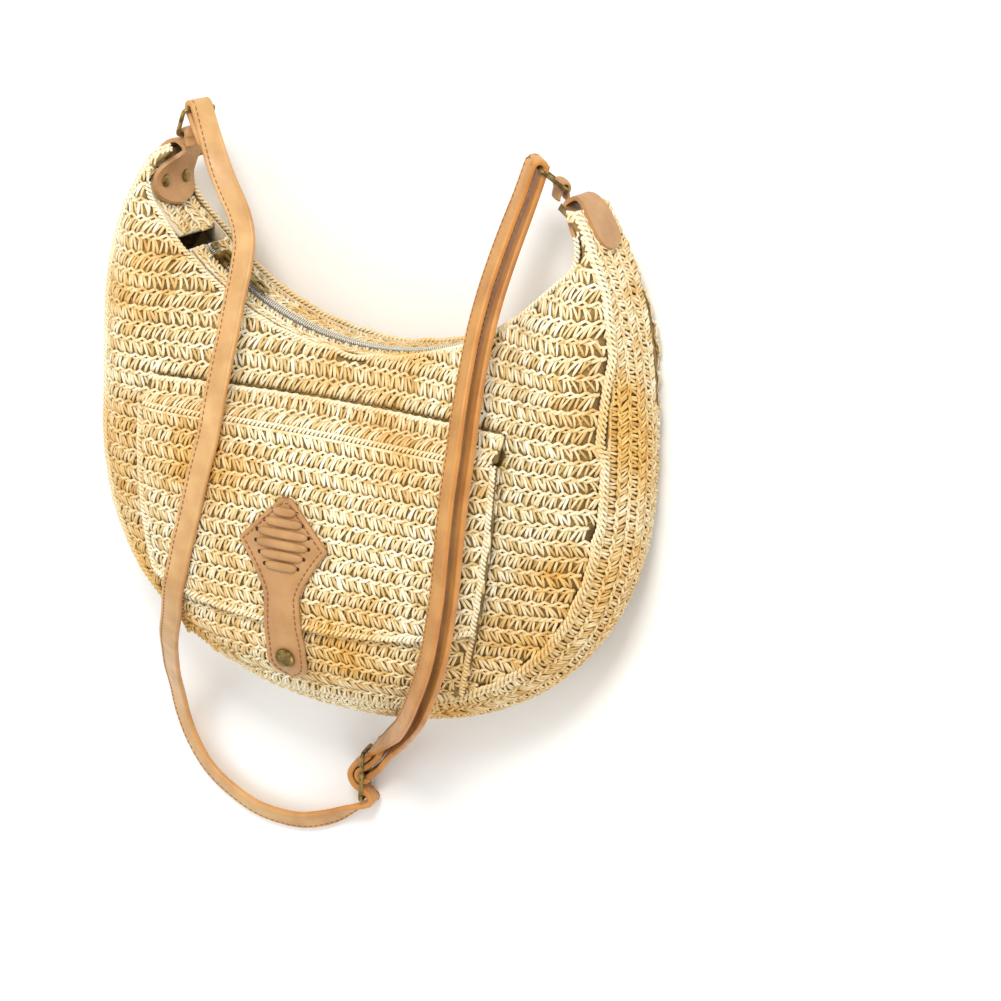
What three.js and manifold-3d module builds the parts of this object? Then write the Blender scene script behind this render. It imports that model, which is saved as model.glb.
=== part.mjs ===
// A crescent hobo bag of crocheted straw with tan leather trim, lying on its back.
// Millimetres. +X is the bag's own right, +Y runs from its bottom towards its mouth, +Z comes out of its front.
// Inside this file Y is measured up from the bottom of the bag; the last group moves the origin to the middle.
import * as THREE from 'three';
import Module from 'manifold-3d';
import { mergeVertices } from 'three/addons/utils/BufferGeometryUtils.js';

const wasm = await Module();
wasm.setup();

// Body outline
const HALF_WIDTH = 156;
const BELLY_Y = 135; // height of the widest level
const BELLY_POWER = 2.2; // superellipse power of the rounded bottom
const TIP_Y = 296.4; // top of the fabric horns
const HORN_DRAW_IN = 32; // how far each horn tip stands in from the widest level
const HORN_POWER = 3.6;
const HORN_BOW = 29; // how far the mouth side of each horn bows outwards below its tip
const HORN_LEAN = 8; // the horns lean to the left as the bag lies
const TIP_WIDTH = 9.5; // flattened horn tip, across X
const MIDDLE_X = -0.8; // middle of the bag's box, without its strap
const MIDDLE_Y = 161.3;

// Mouth: an arc, which the zip follows
const MOUTH_X = -4;
const MOUTH_Y = 354;
const MOUTH_RADIUS = 150;
const MOUTH_HALF_ANGLE = 45;

// Depth of the body (Z) at the horns and over the belly
const HEM_FRONT_Z = [60, 64];
const HEM_BACK_Z = [16, 14];
const SEAM_FRONT_Z = [58, 70];
const SEAM_BACK_Z = [18, 9];
const SEAM_FRONT_INSET = 16;
const SEAM_BACK_INSET = 9;
const DOME_HEIGHT = 22;
const FABRIC = 3;
const LINING = 1;
const GAP = 0.3;
const MID_Z = 39;

// Patch pocket and its flap
const POCKET_X = -6;
const POCKET_TOP_Y = 164;
const POCKET_HALF_WIDTH = 104;
const POCKET_TAPER = 24;
const POCKET_LIFT = 12; // depth of the pocket's hollow
const FLAP_TOP_Y = 167;
const FLAP_SEAM_Y = 181;
const FLAP_LOW_Y = 62;
const FLAP_CORNER_RISE = 12;
const FLAP_HALF_WIDTH = 106;

// Leather closing tab: a kite on the flap and a tongue below it
const TAB_X = -15;
const TAB_TOP_Y = 133;
const TAB_WIDE_Y = 108;
const TAB_NECK_Y = 79;
const TAB_END_Y = 30;
const TAB_HALF_WIDTH = 26.5;
const TAB_NECK_HALF = 10.5;
const TONGUE_HALF = 11.8;
const LEATHER = 2.2;
const LACE_ROWS = 6;
const LACE_PITCH = 5.9;
const LACE_HALF = [6.5, 11.5, 16, 16.5, 13.5, 9.5];
const LACE_FIRST_Y = 126;
const SNAP_Y = 45;

// Hardware
const ROD = 1.2; // radius of the ring and buckle wire
const RING_BAR = 18.4; // between the centre lines of the ring's rails
const RING_RAIL = 18; // between the centre lines of its two bars
const STRAP_WIDTH = 13;
const STRAP_THICK = 3.4;
const SWING_Y = 305.5; // line of the two ring pivots
const SWING_Z = 44.5;
const LOOP_RADIUS = 3.5; // centre line of the strap round a bar
const BUCKLE_REACH = 13.8; // from the buckle's middle bar to its end bars

const STRAW = { color: 0xe3cf9c, roughness: 0.85 };
const TAN = { color: 0xc99662, roughness: 0.5 };
const BRASS = { color: 0x7d6a3c, roughness: 0.4, metalness: 0.9 };
const CLOTH = { color: 0xe9dfc8, roughness: 0.9 };

const mix = THREE.MathUtils.lerp;
const radians = THREE.MathUtils.degToRad;
const smooth = (low, high, value) => THREE.MathUtils.smoothstep(value, low, high);
const vec = (x, y, z) => new THREE.Vector3(x, y, z);

const bag = new THREE.Group();

function addPart(name, geometry, look) {
  const mesh = new THREE.Mesh(geometry, new THREE.MeshStandardMaterial(look));
  mesh.name = name;
  bag.add(mesh);
  return mesh;
}

// ---------------------------------------------------------------- solids

function signedVolume(points, triangles) {
  let sum = 0;
  for (const [a, b, c] of triangles) {
    sum += points[a].dot(points[b].clone().cross(points[c]));
  }
  return sum / 6;
}

function closedSolid(points, triangles) {
  const outward = signedVolume(points, triangles) > 0;
  const faces = outward ? triangles : triangles.map(([a, b, c]) => [a, c, b]);
  const geometry = new THREE.BufferGeometry();
  geometry.setAttribute('position', new THREE.Float32BufferAttribute(points.flatMap((p) => p.toArray()), 3));
  geometry.setIndex(faces.flat());
  return geometry;
}

// A sheet with thickness. face(a, b) and back(a, b) give its two sides, for a and b from 0 to 1.
function sheet(face, back, stepsA, stepsB) {
  const points = [];
  const triangles = [];
  const at = (side, i, j) => (side * (stepsA + 1) + i) * (stepsB + 1) + j;
  const quad = (a, b, c, d) => triangles.push([a, b, c], [a, c, d]);
  for (const side of [face, back]) {
    for (let i = 0; i <= stepsA; i += 1) {
      for (let j = 0; j <= stepsB; j += 1) {
        points.push(side(i / stepsA, j / stepsB));
      }
    }
  }
  for (let i = 0; i < stepsA; i += 1) {
    for (let j = 0; j < stepsB; j += 1) {
      quad(at(0, i, j), at(0, i + 1, j), at(0, i + 1, j + 1), at(0, i, j + 1));
      quad(at(1, i, j), at(1, i, j + 1), at(1, i + 1, j + 1), at(1, i + 1, j));
    }
    quad(at(0, i, 0), at(1, i, 0), at(1, i + 1, 0), at(0, i + 1, 0));
    quad(at(0, i, stepsB), at(0, i + 1, stepsB), at(1, i + 1, stepsB), at(1, i, stepsB));
  }
  for (let j = 0; j < stepsB; j += 1) {
    quad(at(0, 0, j), at(0, 0, j + 1), at(1, 0, j + 1), at(1, 0, j));
    quad(at(0, stepsA, j), at(1, stepsA, j), at(1, stepsA, j + 1), at(0, stepsA, j + 1));
  }
  return closedSolid(points, triangles);
}

// A section of [across, up] pairs carried through stations of { point, across, up }.
function sweep(stations, section, closed = false) {
  const points = [];
  const triangles = [];
  const count = section.length;
  for (const { point, across, up } of stations) {
    for (const [x, y] of section) {
      points.push(point.clone().addScaledVector(across, x).addScaledVector(up, y));
    }
  }
  const spans = closed ? stations.length : stations.length - 1;
  for (let i = 0; i < spans; i += 1) {
    const here = i * count;
    const next = ((i + 1) % stations.length) * count;
    for (let j = 0; j < count; j += 1) {
      const k = (j + 1) % count;
      triangles.push([here + j, next + j, next + k], [here + j, next + k, here + k]);
    }
  }
  if (!closed) {
    const last = (stations.length - 1) * count;
    for (let j = 1; j < count - 1; j += 1) {
      triangles.push([0, j, j + 1], [last, last + j + 1, last + j]);
    }
  }
  return closedSolid(points, triangles);
}

function toManifold(geometry) {
  const bare = geometry.clone();
  bare.deleteAttribute('normal');
  bare.deleteAttribute('uv');
  const merged = mergeVertices(bare, 1e-4);
  const vertProperties = new Float32Array(merged.attributes.position.array);
  const triVerts = new Uint32Array(merged.index.array);
  return new wasm.Manifold(new wasm.Mesh({ numProp: 3, vertProperties, triVerts }));
}

function fromManifold(manifold) {
  const { vertProperties, triVerts } = manifold.getMesh();
  const geometry = new THREE.BufferGeometry();
  geometry.setAttribute('position', new THREE.BufferAttribute(new Float32Array(vertProperties), 3));
  geometry.setIndex(new THREE.BufferAttribute(new Uint32Array(triVerts), 1));
  return geometry;
}

function subtractAll(geometry, cutters) {
  return fromManifold(cutters.reduce((left, cut) => left.subtract(toManifold(cut)), toManifold(geometry)));
}

function joinAll(geometries) {
  return fromManifold(geometries.map(toManifold).reduce((left, right) => left.add(right)));
}

// A geometry whose own +Y axis is turned to `axis` and whose origin goes to `point`.
function aimed(geometry, point, axis) {
  const turn = new THREE.Quaternion().setFromUnitVectors(vec(0, 1, 0), axis.clone().normalize());
  return geometry.applyQuaternion(turn).translate(point.x, point.y, point.z);
}

function lathe(profile, segments) {
  return new THREE.LatheGeometry(profile.map(([r, y]) => new THREE.Vector2(r, y)), segments);
}

// ---------------------------------------------------------------- the bag's outline

function halfWidthAt(y) {
  if (y < BELLY_Y) {
    const drop = (BELLY_Y - y) / BELLY_Y;
    return HALF_WIDTH * (1 - drop ** BELLY_POWER) ** (1 / BELLY_POWER);
  }
  return HALF_WIDTH - HORN_DRAW_IN * ((y - BELLY_Y) / (TIP_Y - BELLY_Y)) ** HORN_POWER;
}

const leanAt = (y) => -HORN_LEAN * smooth(BELLY_Y, TIP_Y, y);

function outerCurve() {
  const side = [];
  for (let i = 0; i < 10; i += 1) {
    const y = mix(TIP_Y, BELLY_Y, i / 10);
    side.push([halfWidthAt(y), y]);
  }
  for (let i = 0; i < 12; i += 1) {
    const angle = (i / 12) * (Math.PI / 2);
    const power = 2 / BELLY_POWER;
    side.push([HALF_WIDTH * Math.cos(angle) ** power, BELLY_Y * (1 - Math.sin(angle) ** power)]);
  }
  const left = side.map(([x, y]) => new THREE.Vector2(leanAt(y) - x, y));
  const right = side.map(([x, y]) => new THREE.Vector2(leanAt(y) + x, y)).reverse();
  return new THREE.SplineCurve([...left, new THREE.Vector2(0, 0), ...right]);
}

function mouthPoint(degrees, outward = 0) {
  const angle = radians(degrees);
  const radius = MOUTH_RADIUS + outward;
  return new THREE.Vector2(MOUTH_X + radius * Math.sin(angle), MOUTH_Y - radius * Math.cos(angle));
}

function innerCurve() {
  const tipHalf = HALF_WIDTH - HORN_DRAW_IN - TIP_WIDTH;
  const easing = 21;
  const horn = (side) => {
    const foot = mouthPoint(side * MOUTH_HALF_ANGLE);
    const tip = new THREE.Vector2(side * tipHalf - HORN_LEAN, TIP_Y);
    const slope = new THREE.Vector2(side, 1).normalize().multiplyScalar(easing);
    const middle = new THREE.Vector2(tip.x + side * HORN_BOW, mix(foot.y, tip.y, 0.55));
    return [foot, foot.clone().add(slope), middle, tip];
  };
  const path = new THREE.CurvePath();
  path.add(new THREE.CubicBezierCurve(...horn(-1).reverse()));
  const start = radians(270 - MOUTH_HALF_ANGLE);
  const end = radians(270 + MOUTH_HALF_ANGLE);
  path.add(new THREE.EllipseCurve(MOUTH_X, MOUTH_Y, MOUTH_RADIUS, MOUTH_RADIUS, start, end, false));
  path.add(new THREE.CubicBezierCurve(...horn(1)));
  return path;
}

const outer = outerCurve();
outer.arcLengthDivisions = 600;
const inner = innerCurve();
inner.curves.forEach((curve) => {
  curve.arcLengthDivisions = 300;
});

// ---------------------------------------------------------------- the bag's skin
// skin(u, s): u runs along the crescent from the left horn to the right one; s runs round a cross-section,
// 0 at the front hem, 1 at the front seam, 2 at the back seam and 3 at the back hem.

function crossSection(u) {
  const from = inner.getPointAt(u);
  const to = outer.getPointAt(u);
  const reach = to.clone().sub(from);
  const width = reach.length();
  return { from, direction: reach.divideScalar(width), width, belly: smooth(10, 110, width) };
}

function skin(u, s) {
  const { from, direction, width, belly } = crossSection(THREE.MathUtils.clamp(u, 0, 1));
  const level = ([horn, body]) => mix(horn, body, belly);
  const frontWidth = width - SEAM_FRONT_INSET * belly;
  const backWidth = width - SEAM_BACK_INSET * belly;
  let w;
  let z;
  if (s <= 1) {
    w = s * frontWidth;
    z = mix(level(HEM_FRONT_Z), level(SEAM_FRONT_Z), s);
    z += (1 + DOME_HEIGHT * belly) * Math.max(0, 4 * s * (1 - s)) ** 0.75;
  } else if (s <= 2) {
    const g = s - 1;
    const bulge = (0.5 * (SEAM_FRONT_INSET + SEAM_BACK_INSET)) * belly;
    w = mix(frontWidth, backWidth, g) + bulge * Math.sin(Math.PI * g);
    z = mix(level(SEAM_FRONT_Z), level(SEAM_BACK_Z), g);
  } else {
    const v = 3 - s;
    const flat = smooth(20, 70, width);
    const resting = level(HEM_BACK_Z) * (1 - smooth(0, 0.24, v)) + level(SEAM_BACK_Z) * smooth(0.88, 1, v);
    w = v * backWidth;
    z = mix(mix(level(HEM_BACK_Z), level(SEAM_BACK_Z), v), resting, flat);
  }
  return vec(from.x + direction.x * w, from.y + direction.y * w, z);
}

// The inward normal of the skin, worked out on one side of s (-1 or +1) or across it (0).
function skinNormal(u, s, side) {
  const step = 0.01;
  const alongU = skin(Math.min(1, u + step), s).sub(skin(Math.max(0, u - step), s));
  const ahead = side < 0 ? s : Math.min(3, s + step);
  const behind = side > 0 ? s : Math.max(0, s - step);
  const alongS = skin(u, ahead).sub(skin(u, behind));
  return alongU.cross(alongS).normalize();
}

// The skin moved inwards by depth. Panels that meet at a seam (s of 1 or 2) share a mitred normal there.
function skinInside(u, s, depth) {
  const seam = Math.round(s);
  if ((seam === 1 || seam === 2) && Math.abs(s - seam) < 0.09) {
    const before = skinNormal(u, seam, -1);
    const mitre = before.clone().add(skinNormal(u, seam, 1)).normalize();
    const stretch = Math.min(1.3, 1 / mitre.dot(before));
    return skin(u, s).addScaledVector(mitre, depth * stretch);
  }
  return skin(u, s).addScaledVector(skinNormal(u, s, 0), depth);
}

function skinPanel(uRange, sValues, outside, inside, stepsU, stepsS) {
  const side = (depth) => (a, b) => {
    const u = mix(...uRange, a);
    return skinInside(u, sValues(u, b), depth);
  };
  return sheet(side(outside), side(inside), stepsU, stepsS);
}

const SKIN_STEPS = 40; // along the crescent
const FRONT_STEPS = 8; // across each panel
const GUSSET_STEPS = 4;
const BACK_STEPS = 10;
const LINING_SKIP = 5; // the lining stops this many steps short of each horn tip

// How far the front and back stop short of their seams, as a share of the section.
const seamTrim = (u) => (GAP + 0.5) / crossSection(u).width;

// The lining follows the same stations as the panels, so it keeps clear of them everywhere.
function liningStation(u, b) {
  const step = Math.round(b * (FRONT_STEPS + GUSSET_STEPS + BACK_STEPS));
  const pastFront = step - FRONT_STEPS;
  const pastGusset = pastFront - GUSSET_STEPS;
  if (pastFront < 0) {
    return (step / FRONT_STEPS) * (1 - seamTrim(u));
  }
  if (pastGusset <= 0) {
    return 1 + pastFront / GUSSET_STEPS;
  }
  return mix(2 + seamTrim(u), 3, pastGusset / BACK_STEPS);
}

function addPanels() {
  const gussetTrim = 0.008;
  const everywhere = [0, 1];
  const frontValues = (u, b) => b * (1 - seamTrim(u));
  const gussetValues = (u, b) => mix(1 + gussetTrim, 2 - gussetTrim, b);
  const backValues = (u, b) => mix(2 + seamTrim(u), 3, b);
  addPart('front_panel', skinPanel(everywhere, frontValues, 0, FABRIC, SKIN_STEPS, FRONT_STEPS), STRAW);
  addPart('gusset', skinPanel(everywhere, gussetValues, 0, FABRIC, SKIN_STEPS, GUSSET_STEPS), STRAW);
  addPart('back_panel', skinPanel(everywhere, backValues, 0, FABRIC, SKIN_STEPS, BACK_STEPS), STRAW);
  const liningU = [LINING_SKIP / SKIN_STEPS, 1 - LINING_SKIP / SKIN_STEPS];
  const outside = FABRIC + 1.4;
  const stepsU = SKIN_STEPS - 2 * LINING_SKIP;
  const stepsS = FRONT_STEPS + GUSSET_STEPS + BACK_STEPS;
  const lining = skinPanel(liningU, liningStation, outside, outside + LINING, stepsU, stepsS);
  addPart('lining', lining, CLOTH);
}

// ---------------------------------------------------------------- the front surface as a height

function frontSection(x, y) {
  let low = 0;
  let high = 1;
  for (let i = 0; i < 40; i += 1) {
    const u = 0.5 * (low + high);
    const { from, direction } = crossSection(u);
    const side = direction.x * (y - from.y) - direction.y * (x - from.x);
    if (side > 0) {
      low = u;
    } else {
      high = u;
    }
  }
  return 0.5 * (low + high);
}

function frontZ(x, y) {
  const u = frontSection(x, y);
  const { from, width, belly } = crossSection(u);
  const v = Math.hypot(x - from.x, y - from.y) / (width - SEAM_FRONT_INSET * belly);
  return skin(u, THREE.MathUtils.clamp(v, 0, 1)).z;
}

function seamY(x) {
  let low = 0;
  let high = BELLY_Y;
  for (let i = 0; i < 30; i += 1) {
    const y = 0.5 * (low + high);
    const u = frontSection(x, y);
    const { from, width, belly } = crossSection(u);
    const inside = Math.hypot(x - from.x, y - from.y) < width - SEAM_FRONT_INSET * belly;
    if (inside) {
      high = y;
    } else {
      low = y;
    }
  }
  return high;
}

// ---------------------------------------------------------------- pocket and flap

const pocketHalfAt = (y) => POCKET_HALF_WIDTH - POCKET_TAPER * (Math.max(0, POCKET_TOP_Y - y) / 142) ** 2.2;

function pocketLift(x, y) {
  const across = Math.min(1, Math.abs(x - POCKET_X) / pocketHalfAt(Math.min(y, POCKET_TOP_Y)));
  const bottom = smooth(0, 26, y - seamY(x));
  return 0.5 + POCKET_LIFT * Math.sqrt(1 - across ** 6) * bottom;
}

function pocketPoint(a, b, lift) {
  const side = 2 * a - 1;
  const guess = POCKET_X + side * (POCKET_HALF_WIDTH - POCKET_TAPER);
  const y = mix(POCKET_TOP_Y, seamY(guess) + 2.5, b);
  const x = POCKET_X + side * pocketHalfAt(y);
  return vec(x, y, frontZ(x, y) + pocketLift(x, y) + lift);
}

const pocketTopZ = (x, y) => frontZ(x, y) + pocketLift(x, y) + FABRIC;

function flapPoint(a, b, lift) {
  const side = 2 * a - 1;
  const lowY = FLAP_LOW_Y + FLAP_CORNER_RISE * Math.abs(side) ** 2.5;
  const y = mix(FLAP_TOP_Y, lowY, b);
  const x = POCKET_X + side * (pocketHalfAt(y) + FLAP_HALF_WIDTH - POCKET_HALF_WIDTH);
  const under = POCKET_X + side * pocketHalfAt(y) * 0.985;
  const rest = frontZ(x, y) + pocketLift(under, Math.min(y, POCKET_TOP_Y)) + FABRIC;
  return vec(x, y, rest + 0.5 + lift);
}

// The strip of flap cloth between the sewn line on the front panel and the part that turns.
function foldPoint(a, b, lift) {
  const side = 2 * a - 1;
  const start = flapPoint(a, 0, lift);
  const x = POCKET_X + side * FLAP_HALF_WIDTH;
  const y = mix(FLAP_TOP_Y + 1, FLAP_SEAM_Y, b);
  const sewn = frontZ(x, FLAP_SEAM_Y) + 0.6 + lift;
  return vec(x, y, mix(start.z, sewn, smooth(0, 1, b)));
}

function addPocket() {
  const holder = snapPlace();
  const hole = aimed(new THREE.CylinderGeometry(1.7, 1.7, 24, 12), holder.point, holder.axis);
  const pocket = sheet((a, b) => pocketPoint(a, b, FABRIC), (a, b) => pocketPoint(a, b, 0), 22, 14);
  addPart('pocket', subtractAll(pocket, [hole]), STRAW);
  addPart('flap', sheet((a, b) => flapPoint(a, b, FABRIC), (a, b) => flapPoint(a, b, 0), 22, 10), STRAW);
  addPart('flap_fold', sheet((a, b) => foldPoint(a, b, FABRIC), (a, b) => foldPoint(a, b, 0), 22, 3), STRAW);
}

// ---------------------------------------------------------------- closing tab

function tabHalfAt(y) {
  if (y > TAB_WIDE_Y) {
    return mix(TAB_HALF_WIDTH, 3, ((y - TAB_WIDE_Y) / (TAB_TOP_Y - TAB_WIDE_Y)) ** 1.05);
  }
  if (y > TAB_NECK_Y) {
    return mix(TAB_NECK_HALF, TAB_HALF_WIDTH, ((y - TAB_NECK_Y) / (TAB_WIDE_Y - TAB_NECK_Y)) ** 1.35);
  }
  const round = Math.min(1, (y - TAB_END_Y) / TONGUE_HALF);
  const straight = mix(TAB_NECK_HALF, TONGUE_HALF, smooth(TAB_NECK_Y, TAB_END_Y + 20, y) + 0.0001);
  const half = mix(TONGUE_HALF, TAB_NECK_HALF, smooth(TAB_END_Y + 18, TAB_NECK_Y, y));
  return Math.max(2, Math.min(half, straight + TONGUE_HALF) * Math.sqrt(1 - (1 - round) ** 2));
}

// Height of the tab's underside: on the flap above, on the pocket below.
function tabZ(x, y) {
  const under = pocketTopZ(x + 8, y);
  const onFlap = under + 0.5 + FABRIC + 2.1;
  const onPocket = under + 3;
  return mix(onPocket, onFlap, smooth(FLAP_LOW_Y - 14, FLAP_LOW_Y + 4, y));
}

const tabRows = [
  ...[1, 0.8, 0.6, 0.4, 0.2].map((t) => mix(TAB_WIDE_Y, TAB_TOP_Y, t)),
  ...[1, 0.8, 0.6, 0.4, 0.2].map((t) => mix(TAB_NECK_Y, TAB_WIDE_Y, t)),
  ...[1, 0.82, 0.64, 0.46, 0.34, 0.24, 0.16, 0.09, 0.04, 0.01].map((t) => mix(TAB_END_Y, TAB_NECK_Y, t)),
];

function tabPoint(a, b, lift) {
  const y = tabRows[Math.round(b * (tabRows.length - 1))];
  const x = TAB_X + (2 * a - 1) * tabHalfAt(y);
  return vec(x, y, tabZ(TAB_X, y) + lift);
}

function laceRow(index) {
  const y = LACE_FIRST_Y - index * LACE_PITCH;
  return { y, half: LACE_HALF[index], z: tabZ(TAB_X, y) };
}

function snapPlace() {
  const z = (dy) => pocketTopZ(TAB_X, SNAP_Y + dy);
  const axis = vec(0, -(z(3) - z(-3)) / 6, 1).normalize();
  return { point: vec(TAB_X, SNAP_Y, z(0)), axis };
}

function addClosingTab() {
  const holes = [];
  for (let index = 0; index < LACE_ROWS; index += 1) {
    const { y, half, z } = laceRow(index);
    for (const side of [-1, 1]) {
      const hole = new THREE.CylinderGeometry(1.5, 1.5, 12, 8);
      holes.push(aimed(hole, vec(TAB_X + side * half, y, z), vec(0, 0, 1)));
    }
  }
  const { point, axis } = snapPlace();
  holes.push(aimed(new THREE.CylinderGeometry(1.9, 1.9, 16, 12), point, axis));
  const plate = sheet((a, b) => tabPoint(a, b, LEATHER), (a, b) => tabPoint(a, b, 0), 6, tabRows.length - 1);
  addPart('closing_tab', subtractAll(plate, holes), TAN);
}

// One flat thong: each row lies on the tab, dips through its two holes and runs on to the next row underneath.
function addLacing() {
  const pieces = [];
  const rows = LACE_HALF.map((_, index) => laceRow(index));
  const over = LEATHER + 1.4;
  rows.forEach(({ y, half, z }, index) => {
    const strip = new THREE.BoxGeometry(2 * half + 2.2, 3.6, 1.1);
    pieces.push(strip.translate(TAB_X, y, z + over));
    for (const side of [-1, 1]) {
      const post = new THREE.CylinderGeometry(1.1, 1.1, over + 1, 8);
      pieces.push(aimed(post, vec(TAB_X + side * half, y, z + over / 2 - 0.5), vec(0, 0, 1)));
    }
    const next = rows[index + 1];
    if (next) {
      const side = index % 2 === 0 ? 1 : -1;
      const from = vec(TAB_X + side * half, y, z - 1);
      const to = vec(TAB_X + side * next.half, next.y, next.z - 1);
      const span = to.clone().sub(from);
      const run = new THREE.BoxGeometry(2.2, span.length() + 1, 0.7);
      pieces.push(aimed(run, from.clone().addScaledVector(span, 0.5), span));
    }
  });
  addPart('tab_lacing', joinAll(pieces), TAN);
}

function addSnap() {
  const { point, axis } = snapPlace();
  const shapes = {
    snap_cap: [[0, 2.9], [1.5, 2.9], [1.5, 5.8], [5.8, 5.8], [5.6, 6.8], [4.4, 7.6], [2.4, 8.1], [0, 8.3]],
    snap_socket: [[2.2, 1], [5, 1], [5, 2.2], [3.4, 2.6], [2.2, 2.6], [2.2, 1]],
    snap_stud: [
      [0, -4.9], [4.4, -4.9], [4.4, -3.9], [1.3, -3.9], [1.3, 0.15], [4.6, 0.15], [4.6, 0.7],
      [1.5, 0.7], [1.75, 1.5], [1.3, 2.2], [0, 2.3],
    ],
  };
  for (const [name, profile] of Object.entries(shapes)) {
    addPart(name, aimed(lathe(profile, 16), point, axis), BRASS);
  }
}

// ---------------------------------------------------------------- zip

const ZIP_HALF_ANGLE = 43;
const COIL_GAP = 0.9; // half the gap between the two coils, where the slider's divider runs
const COIL_WIDTH = 2.5;

// A strip along the mouth between two Z levels and two distances out from the mouth's edge.
function mouthStrip(angles, zRange, outRange, steps) {
  const side = (out) => (a, b) => {
    const p = mouthPoint(mix(...angles, a), out);
    return vec(p.x, p.y, mix(...zRange, b));
  };
  return sheet(side(outRange[0]), side(outRange[1]), steps, 1);
}

function addZip() {
  const tapeAngles = [-ZIP_HALF_ANGLE - 1, ZIP_HALF_ANGLE + 1];
  const coilAngles = [-ZIP_HALF_ANGLE, ZIP_HALF_ANGLE];
  const sides = { front: 1, back: -1 };
  for (const [name, side] of Object.entries(sides)) {
    const hem = side > 0 ? HEM_FRONT_Z[1] - FABRIC - 2.8 : HEM_BACK_Z[1] + FABRIC + 2.8;
    const edge = MID_Z + side * COIL_GAP;
    const tape = mouthStrip(tapeAngles, [edge, hem], [2, 2.8], 30);
    addPart(`zip_tape_${name}`, tape, CLOTH);
    const coil = mouthStrip(coilAngles, [edge, edge + side * COIL_WIDTH], [-0.4, 1.7], 30);
    addPart(`zip_coil_${name}`, coil, CLOTH);
  }
  const stop = (degrees) => mouthStrip([degrees, degrees + 1.4], [MID_Z - 3.4, MID_Z + 3.4], [-2.4, -0.8], 1);
  addPart('zip_stop_left', stop(-ZIP_HALF_ANGLE - 0.2), BRASS);
  addPart('zip_stop_right', stop(ZIP_HALF_ANGLE - 1.2), BRASS);
}

const SLIDER_ANGLE = -39.2;
const SLIDER_LENGTH = 9;
const PULL_LENGTH = 30;
const PULL_HALF = 3.6;
const PULL_TILT = 5;
const BAIL_HEIGHT = 3.6;

// A frame at an angle of the mouth's arc: x along the zip, y towards the arc's centre, z through the bag's depth.
function zipFrame(geometry, degrees, out) {
  const p = mouthPoint(degrees, out);
  return geometry.rotateZ(radians(degrees)).translate(p.x, p.y, MID_Z);
}

function extruded(outline, depth, holes = []) {
  const shape = new THREE.Shape(outline.map(([x, y]) => new THREE.Vector2(x, y)));
  shape.holes = holes.map((hole) => new THREE.Path(hole.map(([x, y]) => new THREE.Vector2(x, y))));
  return new THREE.ExtrudeGeometry(shape, { depth, bevelEnabled: false, curveSegments: 4 });
}

function addSlider() {
  const half = COIL_GAP + COIL_WIDTH + 1.4;
  const wall = half - 1;
  const web = 0.6;
  // Section in (depth, towards the centre): plate above the coils with side flanges, divider, plate below the tape.
  const section = [
    [-half, -1.4], [-wall, -1.4], [-wall, 0.8], [-web, 0.8], [-web, -3.2], [-half, -3.2], [-half, -4.3],
    [half, -4.3], [half, -3.2], [web, -3.2], [web, 0.8], [wall, 0.8], [wall, -1.4], [half, -1.4],
    [half, 2.1], [-half, 2.1],
  ];
  const body = extruded(section, SLIDER_LENGTH).translate(0, 0, -SLIDER_LENGTH / 2).rotateY(Math.PI / 2);
  const arch = [[-3.4, 2], [3.4, 2], [3.4, 3.2], [1.9, 5.6], [-1.9, 5.6], [-3.4, 3.2]];
  const eye = [[-1.3, 2.7], [-1.3, 4.6], [1.3, 4.6], [1.3, 2.7]];
  const bail = extruded(arch, 1.8, [eye]).translate(0, 0, -0.9);
  addPart('zip_slider', zipFrame(joinAll([body, bail]), SLIDER_ANGLE, 0), BRASS);
}

function addPull() {
  const far = PULL_LENGTH;
  const outline = [
    [-0.55, -PULL_HALF], [far - 1, -PULL_HALF], [far, 1 - PULL_HALF], [far, PULL_HALF - 1],
    [far - 1, PULL_HALF], [-0.55, PULL_HALF],
  ];
  const window = [[0.55, -2], [0.55, 2], [6.5, 2], [6.5, -2]];
  const slot = [[far - 7.5, -1.5], [far - 7.5, 1.5], [far - 2.5, 1.5], [far - 2.5, -1.5]];
  const plate = extruded(outline, 1.1, [window, slot]).translate(0, 0, -0.55).rotateX(-Math.PI / 2);
  const placed = plate.rotateZ(radians(PULL_TILT)).translate(0, BAIL_HEIGHT, 0);
  addPart('zip_pull', zipFrame(placed, SLIDER_ANGLE, 0), BRASS);
}

// ---------------------------------------------------------------- leather ends on the horns

const HORN_TAB_TOP = 300.6;

function hornTabPath(side) {
  const lean = (y) => leanAt(y);
  const offset = 1.6;
  const mouthOffset = 3;
  const mouthSide = (u) => {
    const p = inner.getPointAt(side < 0 ? u : 1 - u);
    return new THREE.Vector2(p.x - side * mouthOffset, p.y);
  };
  const outSide = (y) => new THREE.Vector2(side * (halfWidthAt(y) + offset) + lean(y), y);
  const middle = side * (HALF_WIDTH - HORN_DRAW_IN - TIP_WIDTH / 2) - HORN_LEAN;
  return new THREE.SplineCurve([
    mouthSide(0.105), mouthSide(0.08), mouthSide(0.055), mouthSide(0.028), mouthSide(0.005),
    new THREE.Vector2(middle - side * 3.4, HORN_TAB_TOP - 1.4), new THREE.Vector2(middle, HORN_TAB_TOP),
    new THREE.Vector2(middle + side * 4, HORN_TAB_TOP - 1.6),
    outSide(TIP_Y - 3), outSide(TIP_Y - 9), outSide(TIP_Y - 15), outSide(TIP_Y - 21),
  ]);
}

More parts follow.
